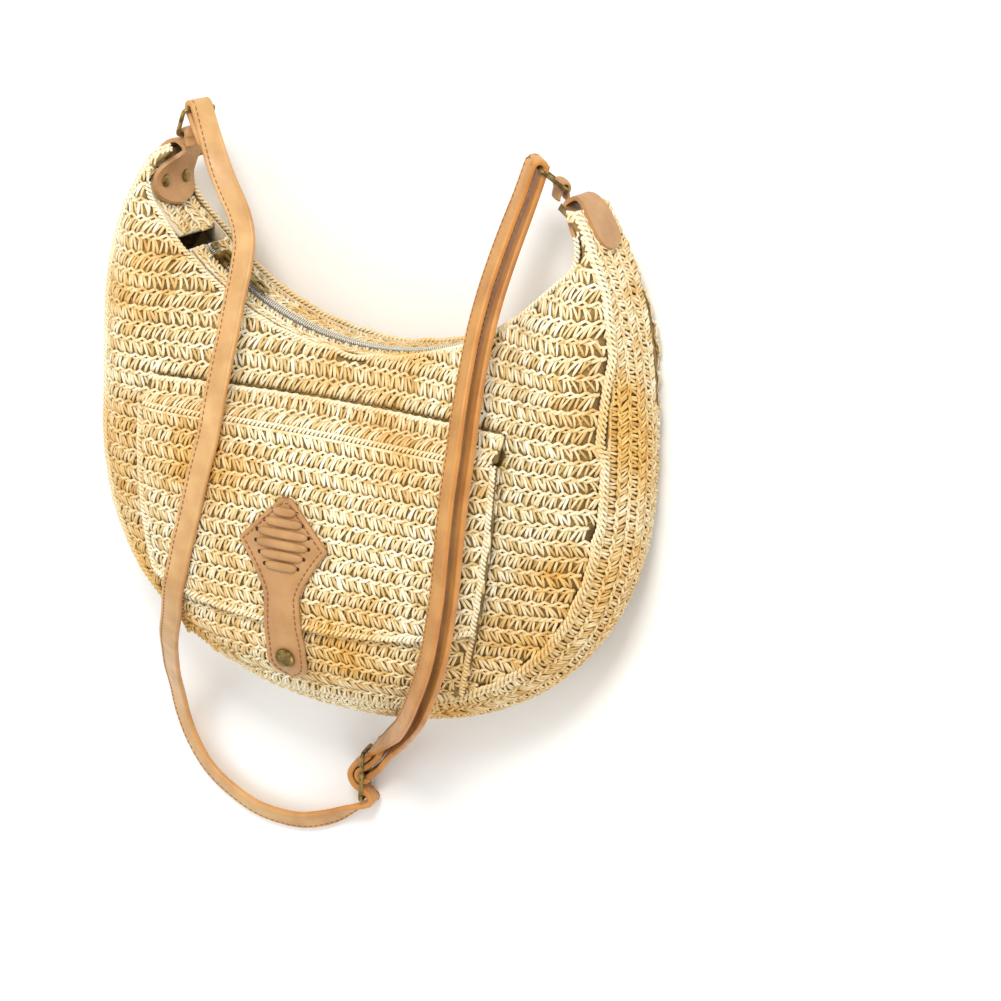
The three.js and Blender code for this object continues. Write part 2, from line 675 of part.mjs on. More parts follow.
// Half the tab's width along its path: a broad round-ended shield, a narrow crown, a slimmer tongue outside.
function hornTabHalf(t) {
  const shield = 20 * Math.sqrt(Math.max(0, 1 - (1 - Math.min(1, t / 0.16)) ** 2));
  const tongue = 13 * Math.sqrt(Math.max(0, 1 - (1 - Math.min(1, (1 - t) / 0.12)) ** 2));
  if (t < 0.52) {
    return Math.max(2, mix(shield, 9, smooth(0.24, 0.5, t)));
  }
  return Math.max(2, mix(9, tongue, smooth(0.55, 0.75, t)));
}

function hornTabPoint(path, side, t, b, lift) {
  const p = path.getPointAt(t);
  const tangent = path.getTangentAt(t);
  const normal = new THREE.Vector2(tangent.y, -tangent.x).multiplyScalar(-side);
  return vec(p.x + normal.x * lift, p.y + normal.y * lift, MID_Z + (2 * b - 1) * hornTabHalf(t));
}

function addHornTab(name, side) {
  const path = hornTabPath(side);
  const points = (lift) => (a, b) => hornTabPoint(path, side, a, b, lift);
  const strip = sheet(points(LEATHER / 2), points(-LEATHER / 2), 30, 4);
  const holes = [];
  const rivetAt = 0.19;
  const seat = path.getPointAt(rivetAt);
  const tangent = path.getTangentAt(rivetAt);
  const axis = vec(tangent.y, -tangent.x, 0).multiplyScalar(-side).normalize();
  for (const [label, offset] of [['front', 10.5], ['back', -10.5]]) {
    const centre = vec(seat.x, seat.y, MID_Z + offset);
    holes.push(aimed(new THREE.CylinderGeometry(1.6, 1.6, 10, 10), centre, axis));
    const profile = [
      [0, -2.9], [2.6, -2.9], [2.6, -1.8], [1.25, -1.8], [1.25, 1.7], [3.5, 1.7], [3.3, 2.4], [2.2, 3], [0, 3.3],
    ];
    addPart(`${name}_rivet_${label}`, aimed(lathe(profile, 14), centre, axis), BRASS);
  }
  addPart(`${name}_horn_tab`, subtractAll(strip, holes), TAN);
}

// ---------------------------------------------------------------- rings and the loops round them

// A ring: where its inner bar sits, which way its bars run and which way it points from there.
const RINGS = {
  left: { pivot: vec(-118.5, SWING_Y, SWING_Z), bar: vec(0.51, 0.13, -0.85), rail: vec(0.41, 0.83, 0.37) },
  right: { pivot: vec(101.5, SWING_Y, SWING_Z), bar: vec(0.67, -0.11, 0.73), rail: vec(-0.56, 0.57, 0.6) },
};

for (const ring of Object.values(RINGS)) {
  ring.bar.normalize();
  ring.rail.addScaledVector(ring.bar, -ring.rail.dot(ring.bar)).normalize();
  ring.far = ring.pivot.clone().addScaledVector(ring.rail, RING_RAIL);
}

function circleSection(radius, sides) {
  return Array.from({ length: sides }, (_, i) => {
    const angle = (2 * Math.PI * i) / sides;
    return [radius * Math.cos(angle), radius * Math.sin(angle)];
  });
}

// A closed wire loop of rounded-rectangle shape in the plane of `right` and `ahead`.
function wireLoop(centre, right, ahead, halfRight, halfAhead, corner) {
  const normal = right.clone().cross(ahead);
  const stations = [];
  const arcSteps = 4;
  const corners = [[1, 1, 0], [-1, 1, 90], [-1, -1, 180], [1, -1, 270]];
  for (const [signRight, signAhead, start] of corners) {
    for (let i = 0; i <= arcSteps; i += 1) {
      const angle = radians(start + (90 * i) / arcSteps);
      const x = signRight * (halfRight - corner) + corner * Math.cos(angle);
      const y = signAhead * (halfAhead - corner) + corner * Math.sin(angle);
      const point = centre.clone().addScaledVector(right, x).addScaledVector(ahead, y);
      const out = right.clone().multiplyScalar(Math.cos(angle)).addScaledVector(ahead, Math.sin(angle));
      stations.push({ point, across: out, up: normal });
    }
  }
  return sweep(stations, circleSection(ROD, 8), true);
}

function sleeve(centre, axis, innerRadius, outerRadius, width) {
  const half = width / 2;
  const profile = [
    [innerRadius, -half], [outerRadius, -half], [outerRadius, half], [innerRadius, half], [innerRadius, -half],
  ];
  return aimed(lathe(profile, 14), centre, axis);
}

function addRings() {
  for (const [name, ring] of Object.entries(RINGS)) {
    const centre = ring.pivot.clone().addScaledVector(ring.rail, RING_RAIL / 2);
    const loop = wireLoop(centre, ring.bar, ring.rail, RING_BAR / 2, RING_RAIL / 2, 2.4);
    addPart(`${name}_ring`, loop, BRASS);
    addPart(`${name}_tab_loop`, sleeve(ring.pivot, ring.bar, ROD + 0.5, ROD + 2.4, 10), TAN);
  }
}

// ---------------------------------------------------------------- strap and buckle

// The buckle stands on edge on the floor: its bars run along `bar`, its length along +Y.
const BUCKLE = { centre: vec(-11, -47, 10.5), bar: vec(0.21, 0, 0.98), ahead: vec(0, 1, 0) };

// Centre line of the strap as [x, y, z, tilt]; tilt in degrees lifts the edge on the right of the way it runs.
const LEFT_RUN = [
  [-104.6, 313.5, 54.2, 57], [-100.3, 304.5, 55.5, 52], [-94, 293, 58, 40], [-86, 281.5, 61, 25],
  [-76.5, 270, 65, 12], [-70, 257.5, 69.5, 4], [-68, 243, 75, 0], [-66.7, 228.2, 82.8, 0], [-64.5, 212.5, 91.8, 0],
  [-62.7, 195.8, 101.4, 0], [-61.9, 179, 108.5, 0], [-63.4, 159, 111.3, 0], [-67.3, 138.3, 113.1, 0],
  [-71.1, 119, 113.1, 0], [-75.8, 99.6, 111.9, 0], [-80, 83, 109.5, 0], [-84.8, 69, 105.1, 0],
  [-92.4, 51, 92.5, 0], [-102.3, 32.8, 77.2, -2], [-112.3, 15.1, 57.5, -6], [-120.6, -0.3, 40, -10],
  [-127, -18, 22, -18], [-129.3, -34.7, 11, -26], [-124, -52, 6.6, -32], [-112.6, -66.8, 5.8, -35],
  [-95.9, -77.7, 5.7, -35], [-77.8, -84.5, 5.7, -35], [-53.5, -85.3, 6, -37], [-33.8, -78.7, 6.9, -48],
  [-19.2, -69.9, 8.4, -75],
];
const WEAVE = [
  [5, -16], [4, -12], [0, -9], [-5, -5.8], [-7.6, 0], [-5, 5.8], [0, 9], [4, 13],
];
const RIGHT_RUN = [
  [-4.6, -29.5, 12.5, -108], [1.5, -25, 19, -118], [11, -17, 31, -128], [24.5, -6, 50, -138],
  [39, 6.1, 72.2, -143], [52.4, 22, 90.7, -143], [62.6, 39.5, 102.1, -143], [69.6, 54, 109.5, -143],
  [75.3, 71.5, 115.5, -143], [80, 100, 119.7, -143], [81.7, 126, 121.2, -143], [82.7, 151, 120.6, -143],
  [83.2, 173, 117.3, -143], [82.6, 193.9, 112.4, -143], [80.6, 214.1, 102.7, -143], [78.1, 233.3, 90.6, -142],
  [77.5, 251, 80, -140], [79.3, 269, 72, -138], [82.2, 286, 65.5, -136], [85.6, 301, 61, -134],
];
const RETURN_RUN = [
  [90.5, 300, 55.5, -46], [87.3, 285, 59.5, -44], [84.3, 268, 65.5, -42], [82.5, 250, 73.5, -40],
  [83.1, 232.3, 84, -38], [85.5, 213.6, 96.2, -37], [87.5, 193.9, 105.8, -37], [88.1, 173, 110.7, -37],
  [87.6, 151, 114, -37], [86.6, 126, 114.6, -37], [84.9, 100, 113.1, -37], [80.2, 70.8, 109, -37],
  [74.6, 53, 103.4, -37], [67.6, 38, 95.7, -37], [57.6, 21, 84.7, -37], [44.5, 6.6, 66.2, -40], [31, -6, 45, -46],
  [18.5, -18, 27, -55], [8.5, -28, 17, -66], [2.7, -35.5, 12.5, -74], [-1.2, -41, 10.2, -78],
];
const SEWN_END = [[1, 4.6], [5, 8], [9, 12.5], [12.4, 16.5], [15.4, 20]];
const SEWN_LIFT = [0, 0.6, 2.4, 6.1, 10.7];

// Points round a bar: from `start` to `end` degrees, measured from `side` towards `onward`.
function roundBar(centre, side, onward, start, end, across) {
  const steps = 6;
  return Array.from({ length: steps + 1 }, (_, i) => {
    const angle = radians(mix(start, end, i / steps));
    const point = centre.clone().addScaledVector(side, LOOP_RADIUS * Math.cos(angle));
    return { point: point.addScaledVector(onward, LOOP_RADIUS * Math.sin(angle)), across };
  });
}

function runPoints(run) {
  return run.map(([x, y, z, tilt]) => ({ point: vec(x, y, z), tilt: radians(tilt) }));
}

function buckleFrame() {
  const bar = BUCKLE.bar.clone().normalize();
  return { bar, side: BUCKLE.ahead.clone().cross(bar) };
}

function bucklePoints(pairs, lifts = []) {
  const { bar, side } = buckleFrame();
  return pairs.map(([p, q], i) => {
    const point = BUCKLE.centre.clone().addScaledVector(side, p).addScaledVector(BUCKLE.ahead, q);
    return { point: point.add(vec(0, 0, lifts[i] ?? 0)), across: bar.clone().negate() };
  });
}

function strapRoute() {
  const { left, right } = RINGS;
  const leftWay = vec(0.43, -0.89, 0.12);
  leftWay.addScaledVector(left.bar, -leftWay.dot(left.bar)).normalize();
  const leftOut = leftWay.clone().cross(left.bar);
  const rightWay = vec(-0.25, -0.95, 0.1);
  rightWay.addScaledVector(right.bar, -rightWay.dot(right.bar)).normalize();
  const rightOut = rightWay.clone().cross(right.bar);
  const leftAcross = left.bar.clone().negate();
  const rightAcross = right.bar.clone().negate();
  const { bar, side } = buckleFrame();
  const endOfLeft = left.far.clone().addScaledVector(leftOut, -LOOP_RADIUS);
  const tail = [20, 13, 6].map((reach) => ({
    point: endOfLeft.clone().addScaledVector(leftWay, reach).addScaledVector(leftOut, reach * 0.165),
    across: leftAcross,
  }));
  return [
    ...tail,
    ...roundBar(left.far, leftOut, leftWay.clone().negate(), 180, 0, leftAcross),
    ...runPoints(LEFT_RUN),
    ...bucklePoints(WEAVE),
    ...runPoints(RIGHT_RUN),
    ...roundBar(right.far, rightOut, rightWay.clone().negate(), 0, 180, rightAcross),
    ...runPoints(RETURN_RUN),
    ...roundBar(BUCKLE.centre, side, BUCKLE.ahead, 0, -225, bar.clone().negate()),
    ...bucklePoints(SEWN_END, SEWN_LIFT),
  ];
}

function addStrap() {
  const route = strapRoute();
  const stations = route.map(({ point, across, tilt }, i) => {
    const before = route[Math.max(0, i - 1)].point;
    const after = route[Math.min(route.length - 1, i + 1)].point;
    const way = after.clone().sub(before).normalize();
    let wide = across;
    if (!wide) {
      const level = vec(way.y, -way.x, 0).normalize();
      const up = level.clone().cross(way);
      wide = level.multiplyScalar(Math.cos(tilt)).addScaledVector(up, Math.sin(tilt));
    }
    const flat = wide.clone().addScaledVector(way, -wide.dot(way)).normalize();
    return { point, across: flat, up: flat.clone().cross(way) };
  });
  const w = STRAP_WIDTH / 2;
  const t = STRAP_THICK / 2;
  const section = [
    [w, -t * 0.45], [w, t * 0.45], [w - 1, t], [1 - w, t], [-w, t * 0.45], [-w, -t * 0.45], [1 - w, -t], [w - 1, -t],
  ];
  addPart('strap', sweep(stations, section), TAN);
}

function addBuckle() {
  const { bar } = buckleFrame();
  const frame = wireLoop(BUCKLE.centre, bar, BUCKLE.ahead, RING_BAR / 2, BUCKLE_REACH, 2.4);
  const middle = aimed(new THREE.CylinderGeometry(ROD, ROD, RING_BAR, 8), BUCKLE.centre, bar);
  addPart('strap_buckle', joinAll([frame, middle]), BRASS);
}

// ---------------------------------------------------------------- facings that close the horns above the zip

function addHornFacing(name, side) {
  const reach = [0.02, 0.155];
  const at = (w) => (a, b) => {
    const along = mix(...reach, a);
    const { from, direction } = crossSection(side < 0 ? along : 1 - along);
    const z = mix(HEM_BACK_Z[0] + FABRIC + 0.9, HEM_FRONT_Z[0] - FABRIC - 0.9, b);
    return vec(from.x + direction.x * w, from.y + direction.y * w, z);
  };
  addPart(name, sheet(at(2.4), at(4.2), 10, 1), STRAW);
}

addPanels();
addPocket();
addClosingTab();
addLacing();
addSnap();
addZip();
addSlider();
addPull();
addHornTab('left', -1);
addHornTab('right', 1);
addRings();
addHornFacing('left_horn_facing', -1);
addHornFacing('right_horn_facing', 1);
addStrap();
addBuckle();

const object = new THREE.Group();
bag.position.set(-MIDDLE_X, -MIDDLE_Y, 0);
object.add(bag);

export default object;
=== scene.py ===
import math

import bmesh
import bpy
import numpy as np
from mathutils import Matrix, Vector
from mathutils.bvhtree import BVHTree


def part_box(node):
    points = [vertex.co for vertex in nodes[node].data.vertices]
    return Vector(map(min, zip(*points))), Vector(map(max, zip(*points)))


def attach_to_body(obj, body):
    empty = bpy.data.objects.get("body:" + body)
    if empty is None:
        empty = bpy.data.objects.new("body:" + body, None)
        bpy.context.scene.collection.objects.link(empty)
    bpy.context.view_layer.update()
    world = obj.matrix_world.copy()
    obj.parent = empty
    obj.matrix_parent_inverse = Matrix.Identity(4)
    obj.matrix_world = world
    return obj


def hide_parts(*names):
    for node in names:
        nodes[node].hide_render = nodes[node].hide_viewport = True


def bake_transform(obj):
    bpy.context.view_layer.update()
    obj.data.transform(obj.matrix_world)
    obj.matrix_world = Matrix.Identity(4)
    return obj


MM = 0.001
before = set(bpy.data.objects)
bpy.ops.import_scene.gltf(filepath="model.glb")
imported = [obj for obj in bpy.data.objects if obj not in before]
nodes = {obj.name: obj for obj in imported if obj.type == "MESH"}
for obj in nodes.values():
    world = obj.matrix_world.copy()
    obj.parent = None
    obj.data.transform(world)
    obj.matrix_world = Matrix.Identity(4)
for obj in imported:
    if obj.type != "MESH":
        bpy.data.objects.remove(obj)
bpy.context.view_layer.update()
rng = np.random.default_rng(7)

# The CAD source measures Y from the bottom of the bag; the frame's origin is the middle of its box.
MIDDLE_X = -0.8
MIDDLE_Y = 161.3


def place(x, y, z):
    """A point of the CAD source, in millimetres, as a point of the frame in metres."""
    return np.array([x - MIDDLE_X, y - MIDDLE_Y, z], float) * MM


def unit(v):
    v = np.asarray(v, float)
    return v / np.maximum(np.linalg.norm(v, axis=-1, keepdims=True), 1e-12)


def add_object(name, data):
    made = bpy.data.objects.new(name, data)
    bpy.context.scene.collection.objects.link(made)
    return made


def reach_along(points):
    """Each point's distance along the line from its first point."""
    return np.concatenate([[0], np.cumsum(np.linalg.norm(np.diff(points, axis=0), axis=1))])


def sample(steps, reach, values):
    """The values along a line, at the distances in steps."""
    return np.stack([np.interp(steps, reach, values[:, k]) for k in range(values.shape[1])], -1)


# ---------------------------------------------------------------- camera, floor and light

VIEW_AZIMUTH = math.radians(25)
VIEW_RISE = math.radians(15)
VIEW_ROLL = math.radians(3.5)
VIEW_DISTANCE = 2.0
VIEW_WIDTH = 0.531
VIEW_CENTRE = Vector((0.0763, -0.0294, 0.04))
SENSOR = 36
FLOOR_SIZE = 8
FLOOR_DROP = 0.0006  # keeps the floor clear of the bag's lowest faces
SKY_STRENGTH = 0.72


def make_camera():
    back = Vector((
        math.sin(VIEW_AZIMUTH) * math.cos(VIEW_RISE),
        math.sin(VIEW_RISE),
        math.cos(VIEW_AZIMUTH) * math.cos(VIEW_RISE),
    ))
    level = Vector((math.cos(VIEW_AZIMUTH), 0, -math.sin(VIEW_AZIMUTH)))
    upright = back.cross(level)
    right = math.cos(VIEW_ROLL) * level + math.sin(VIEW_ROLL) * upright
    up = math.cos(VIEW_ROLL) * upright - math.sin(VIEW_ROLL) * level
    data = bpy.data.cameras.new("camera")
    data.sensor_width = SENSOR
    data.lens = SENSOR * VIEW_DISTANCE / VIEW_WIDTH
    data.clip_end = 50
    camera = add_object("camera", data)
    turn = Matrix((right, up, back)).transposed().to_4x4()
    camera.matrix_world = Matrix.Translation(VIEW_CENTRE + back * VIEW_DISTANCE) @ turn
    bpy.context.scene.camera = camera


def area_light(name, place_at, size, power, colour=(1, 1, 1)):
    data = bpy.data.lights.new(name, "AREA")
    data.size = size
    data.energy = power
    data.color = colour
    lamp = add_object(name, data)
    lamp.location = place_at
    lamp.rotation_mode = "QUATERNION"
    lamp.rotation_quaternion = (-Vector(place_at)).to_track_quat("-Z", "Y")


def new_material(name):
    material = bpy.data.materials.new(name)
    material.use_nodes = True
    return material, material.node_tree, material.node_tree.nodes["Principled BSDF"]


def rgb(r, g, b):
    """An sRGB colour as the linear one that shaders take."""
    def linear(c):
        c /= 255
        return c / 12.92 if c <= 0.04045 else ((c + 0.055) / 1.055) ** 2.4
    return (linear(r), linear(g), linear(b), 1)


def make_stage():
    bpy.ops.mesh.primitive_plane_add(size=FLOOR_SIZE, location=(0, 0, -FLOOR_DROP))
    floor = bpy.context.object
    floor.name = "floor"
    material, _, shader = new_material("floor")
    shader.inputs["Base Color"].default_value = (0.92, 0.92, 0.91, 1)
    shader.inputs["Roughness"].default_value = 0.9
    floor.data.materials.append(material)
    world = bpy.data.worlds.new("studio")
    world.use_nodes = True
    sky = world.node_tree.nodes["Background"].inputs
    sky["Color"].default_value = (1, 0.99, 0.97, 1)
    sky["Strength"].default_value = SKY_STRENGTH
    bpy.context.scene.world = world
    bpy.context.scene.view_settings.view_transform = "Standard"
    area_light("key", (0.4, 1.1, 1.4), 0.5, 24, (1, 0.98, 0.94))
    area_light("fill", (-1.2, -0.3, 1.0), 1.2, 7)
    area_light("rim", (0.9, -1.0, 0.8), 0.9, 5)


make_camera()
make_stage()

# ---------------------------------------------------------------- meshes made of quads


class Soup:
    """Points and quads that are gathered first and made into one piece at the end."""

    def __init__(self):
        self.points, self.quads, self.tone, self.rise, self.count = [], [], [], [], 0

    def add(self, points, quads, tone=0.5, rise=0.5):
        points = np.asarray(points, float).reshape(-1, 3)
        self.points.append(points)
        self.quads.append(np.asarray(quads, int) + self.count)
        self.tone.append(np.broadcast_to(tone, len(points)).astype(float))
        self.rise.append(np.broadcast_to(rise, len(points)).astype(float))
        self.count += len(points)

    def build(self, name, material, smooth=True):
        mesh = bpy.data.meshes.new(name)
        quads = np.concatenate(self.quads)
        mesh.from_pydata(np.concatenate(self.points).tolist(), [], quads.tolist())
        # The second attribute is painted shade on the straw, darker where strands lie low, and a darker tint
        # at the strap's edges.
        for key, values in (("tone", self.tone), ("rise", self.rise)):
            layer = mesh.attributes.new(key, "FLOAT", "POINT")
            layer.data.foreach_set("value", np.concatenate(values).astype(np.float32))
        mesh.polygons.foreach_set("use_smooth", np.full(len(mesh.polygons), smooth))
        mesh.materials.append(material)
        mesh.update()
        return add_object(name, mesh)


def attach(piece, body, slot, *replaced):
    """The piece rides on a body and stands for the CAD nodes that are named; slot is not used."""
    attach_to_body(piece, body)
    if replaced:
        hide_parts(*replaced)


def ring_quads(rings, sides, closed=False, caps=True):
    """Quads round `rings` rings of `sides` points each, one after another."""
    spans = rings if closed else rings - 1
    i, j = np.meshgrid(np.arange(spans), np.arange(sides), indexing="ij")
    here, there = i * sides, ((i + 1) % rings) * sides
    k = (j + 1) % sides
    quads = np.stack([here + j, here + k, there + k, there + j], -1).reshape(-1, 4)
    if closed or not caps:
        return quads
    fan = np.array([[0, 2 * n + 3, 2 * n + 2, 2 * n + 1] for n in range(sides // 2 - 1)])
    end = (fan + (rings - 1) * sides)[:, ::-1]
    return np.concatenate([quads, fan, end])


def tubes(soup, paths, normals, wide, thick, sides=4, tone=0.5, rise=0.5, closed=False):
    """Tubes of oval section along paths of shape (count, points, 3); normals point along their thickness."""
    paths = np.asarray(paths, float)
    count, length, _ = paths.shape
    if closed:
        along = np.roll(paths, -1, 1) - np.roll(paths, 1, 1)
    else:
        along = np.gradient(paths, axis=1)
    along = unit(along)
    side = unit(np.cross(along, normals))
    up = np.cross(side, along)
    turns = (np.arange(sides) + 0.5) * 2 * math.pi / sides
    wide = np.broadcast_to(wide, (count, length))[:, :, None, None]
    thick = np.broadcast_to(thick, (count, length))[:, :, None, None]
    cos, sin = np.cos(turns)[:, None], np.sin(turns)[:, None]
    points = paths[:, :, None] + side[:, :, None] * cos * wide + up[:, :, None] * sin * thick
    quads = ring_quads(length, sides, closed)
    quads = (quads[None] + (np.arange(count) * length * sides)[:, None, None]).reshape(-1, 4)
    tone = np.asarray(tone, float)
    if tone.ndim == 1:
        tone = tone[:, None]
    tone = np.broadcast_to(tone, (count, length))
    rise = np.broadcast_to(np.asarray(rise, float), (count, length))
    soup.add(points, quads, np.repeat(tone.ravel(), sides), np.repeat(rise.ravel(), sides))


# ---------------------------------------------------------------- materials


def node(tree, kind, **values):
    made = tree.nodes.new(kind)
    for key, value in values.items():
        setattr(made, key, value)
    return made


def object_coords(tree, stretch=(1, 1, 1)):
    coords = node(tree, "ShaderNodeTexCoord")
    mapping = node(tree, "ShaderNodeMapping")
    mapping.inputs["Scale"].default_value = stretch
    tree.links.new(coords.outputs["Object"], mapping.inputs["Vector"])
    return mapping.outputs["Vector"]


def noise(tree, scale, detail=3, stretch=(1, 1, 1)):
    texture = node(tree, "ShaderNodeTexNoise")
    texture.inputs["Scale"].default_value = scale
    texture.inputs["Detail"].default_value = detail
    tree.links.new(object_coords(tree, stretch), texture.inputs["Vector"])
    return texture.outputs["Fac"]


def attribute(tree, name):
    return node(tree, "ShaderNodeAttribute", attribute_name=name).outputs["Fac"]


def ramp(tree, source, stops):
    made = node(tree, "ShaderNodeValToRGB")
    while len(made.color_ramp.elements) < len(stops):
        made.color_ramp.elements.new(0.5)
    for element, (at, colour) in zip(made.color_ramp.elements, stops):
        element.position = at
        element.color = colour if len(colour) == 4 else (*colour, 1)
    tree.links.new(source, made.inputs["Fac"])
    return made.outputs["Color"]


def grey(value):
    return (value, value, value, 1)


def blend_colours(tree, factor, a, b, mode="MIX"):
    made = node(tree, "ShaderNodeMix", data_type="RGBA", blend_type=mode)
    sockets = {s.identifier: s for s in made.inputs}
    for key, value in (("Factor_Float", factor), ("A_Color", a), ("B_Color", b)):
        if isinstance(value, bpy.types.NodeSocket):
            tree.links.new(value, sockets[key])
        else:
            sockets[key].default_value = value
    return next(s for s in made.outputs if s.identifier == "Result_Color")


def bump(tree, shader, height, strength, distance):
    made = node(tree, "ShaderNodeBump")
    made.inputs["Strength"].default_value = strength
    made.inputs["Distance"].default_value = distance
    tree.links.new(height, made.inputs["Height"])
    tree.links.new(made.outputs["Normal"], shader.inputs["Normal"])


def straw_material():
    material, tree, shader = new_material("straw")
    light = ramp(tree, attribute(tree, "tone"), [
        (0.0, rgb(204, 172, 108)), (0.35, rgb(228, 202, 146)),
        (0.7, rgb(246, 234, 198)), (1.0, rgb(254, 250, 232)),
    ])
    patches = ramp(tree, noise(tree, 13, 2), [(0.42, grey(0)), (0.66, grey(1))])
    warm = blend_colours(tree, patches, light, rgb(240, 206, 140), "MULTIPLY")
    fibre = noise(tree, 900, 2, (0.35, 1, 1))
    streak = ramp(tree, fibre, [(0.3, grey(0.86)), (0.7, grey(1))])
    # Strands that lie lower in the crochet are painted darker: painted shade in its depths.
    depth_shade_stops = [(0.0, rgb(186, 156, 100)), (0.5, rgb(240, 230, 206)), (1, grey(1))]
    depth_shade = ramp(tree, attribute(tree, "rise"), depth_shade_stops)
    shade = blend_colours(tree, 1.0, warm, depth_shade, "MULTIPLY")
    colour = blend_colours(tree, 1.0, shade, streak, "MULTIPLY")
    tree.links.new(colour, shader.inputs["Base Color"])
    shader.inputs["Roughness"].default_value = 0.5
    shader.inputs["Specular IOR Level"].default_value = 0.35
    bump(tree, shader, fibre, 0.35, 0.0003)
    return material


# A dark sheet under the crochet: painted shade seen through the gaps between the stitches.
def shade_sheet_material():
    material, tree, shader = new_material("straw_shade")
    mottle = noise(tree, 160, 3)
    colour = ramp(tree, mottle, [(0.3, rgb(112, 88, 48)), (0.7, rgb(158, 130, 78))])
    tree.links.new(colour, shader.inputs["Base Color"])
    shader.inputs["Roughness"].default_value = 0.9
    bump(tree, shader, noise(tree, 700, 3), 0.6, 0.0008)
    return material


def cloth_material(name, dark, light, scale):
    material, tree, shader = new_material(name)
    wave = node(tree, "ShaderNodeTexWave", wave_type="BANDS", bands_direction="X")
    wave.inputs["Scale"].default_value = scale
    wave.inputs["Distortion"].default_value = 0.6
    cross = node(tree, "ShaderNodeTexWave", wave_type="BANDS", bands_direction="Y")
    cross.inputs["Scale"].default_value = scale
    cross.inputs["Distortion"].default_value = 0.6
    for texture in (wave, cross):
        tree.links.new(object_coords(tree), texture.inputs["Vector"])
    weave = blend_colours(tree, 0.5, wave.outputs["Color"], cross.outputs["Color"])
    colour = ramp(tree, weave, [(0.2, dark), (0.8, light)])
    tree.links.new(colour, shader.inputs["Base Color"])
    shader.inputs["Roughness"].default_value = 0.85
    bump(tree, shader, weave, 0.4, 0.0002)
    return material


def leather_material(name, dark, light, roughness=0.42):
    material, tree, shader = new_material(name)
    mottle = noise(tree, 60, 4)
    base = ramp(tree, mottle, [(0.3, dark), (0.7, light)])
    edge = ramp(tree, attribute(tree, "rise"), [(0.5, grey(1)), (1.0, rgb(255, 236, 208))])
    # The tone attribute paints the strap's double run darker and more orange: painted shade.
    tone = ramp(tree, attribute(tree, "tone"), [(0.0, grey(1)), (1, rgb(238, 212, 160))])
    toned = blend_colours(tree, 1.0, base, tone, "MULTIPLY")
    colour = blend_colours(tree, 1.0, toned, edge, "MULTIPLY")
    tree.links.new(colour, shader.inputs["Base Color"])
    grain = node(tree, "ShaderNodeTexVoronoi", feature="DISTANCE_TO_EDGE")
    grain.inputs["Scale"].default_value = 1400
    tree.links.new(object_coords(tree), grain.inputs["Vector"])
    pores = ramp(tree, grain.outputs["Distance"], [(0.0, grey(0)), (0.12, grey(1))])
    sheens = [(0.3, grey(roughness - 0.07)), (0.7, grey(roughness + 0.1))]
    uneven = ramp(tree, noise(tree, 220, 3), sheens)
    tree.links.new(uneven, shader.inputs["Roughness"])
    bump(tree, shader, pores, 0.22, 0.00012)
    return material


def brass_material():
    material, tree, shader = new_material("antique_brass")
    tarnish = noise(tree, 240, 4)
    tints = [(0.35, rgb(96, 78, 42)), (0.55, rgb(142, 120, 70)), (0.75, rgb(176, 152, 98))]
    colour = ramp(tree, tarnish, tints)
    tree.links.new(colour, shader.inputs["Base Color"])
    shader.inputs["Metallic"].default_value = 0.9
    rough = ramp(tree, tarnish, [(0.3, grey(0.5)), (0.7, grey(0.3))])
    tree.links.new(rough, shader.inputs["Roughness"])
    bump(tree, shader, noise(tree, 500, 3), 0.12, 0.0002)
    return material


def plain_thread(name, colour, roughness=0.7):
    material, tree, shader = new_material(name)
    strands = ramp(tree, noise(tree, 1500, 2), [(0.3, tuple(0.7 * c for c in colour[:3])), (0.7, colour)])
    tree.links.new(strands, shader.inputs["Base Color"])
    shader.inputs["Roughness"].default_value = roughness
    bump(tree, shader, noise(tree, 1500, 2), 0.3, 0.0002)
    return material


STRAW = straw_material()
SHADE = shade_sheet_material()
LINING = cloth_material("lining_cloth", rgb(196, 180, 148), rgb(232, 220, 192), 420)
TAPE = cloth_material("zip_tape", rgb(206, 202, 190), rgb(242, 240, 232), 600)
COIL = plain_thread("zip_coil", rgb(226, 222, 208), 0.45)
TAN = leather_material("tan_leather", rgb(184, 138, 84), rgb(208, 166, 110))
TAB_TAN = leather_material("tab_leather", rgb(164, 118, 70), rgb(188, 144, 94), 0.46)
THREAD = plain_thread("brown_thread", rgb(150, 98, 54))
BRASS = brass_material()
# A dark brown for the punched holes: painted shade inside them.
HOLE_SHADE = plain_thread("punched_hole_shade", rgb(44, 26, 14), 0.9)

# ---------------------------------------------------------------- strap: its route, as in the CAD source

STRAP_WIDTH = 13
RING_BAR = 18.4
WIRE_CORNER = 2.4
RING_RAIL = 18
SWING_Y = 305.5
SWING_Z = 44.5
LOOP_RADIUS = 3.5
BUCKLE_REACH = 13.8
WIRE = 1.2

RINGS = {
    "left": {"pivot": (-118.5, SWING_Y, SWING_Z), "bar": (0.51, 0.13, -0.85), "rail": (0.41, 0.83, 0.37)},
    "right": {"pivot": (101.5, SWING_Y, SWING_Z), "bar": (0.67, -0.11, 0.73), "rail": (-0.56, 0.57, 0.6)},
}
for ring in RINGS.values():
    ring["pivot"] = np.array(ring["pivot"], float)
    ring["bar"] = unit(ring["bar"])
    rail = np.array(ring["rail"], float)
    ring["rail"] = unit(rail - ring["bar"] * rail.dot(ring["bar"]))
    ring["far"] = ring["pivot"] + ring["rail"] * RING_RAIL

BUCKLE_CENTRE = np.array([-11, -47, 10.5])
BUCKLE_BAR = unit([0.21, 0, 0.98])
BUCKLE_AHEAD = np.array([0.0, 1, 0])
BUCKLE_SIDE = np.cross(BUCKLE_AHEAD, BUCKLE_BAR)

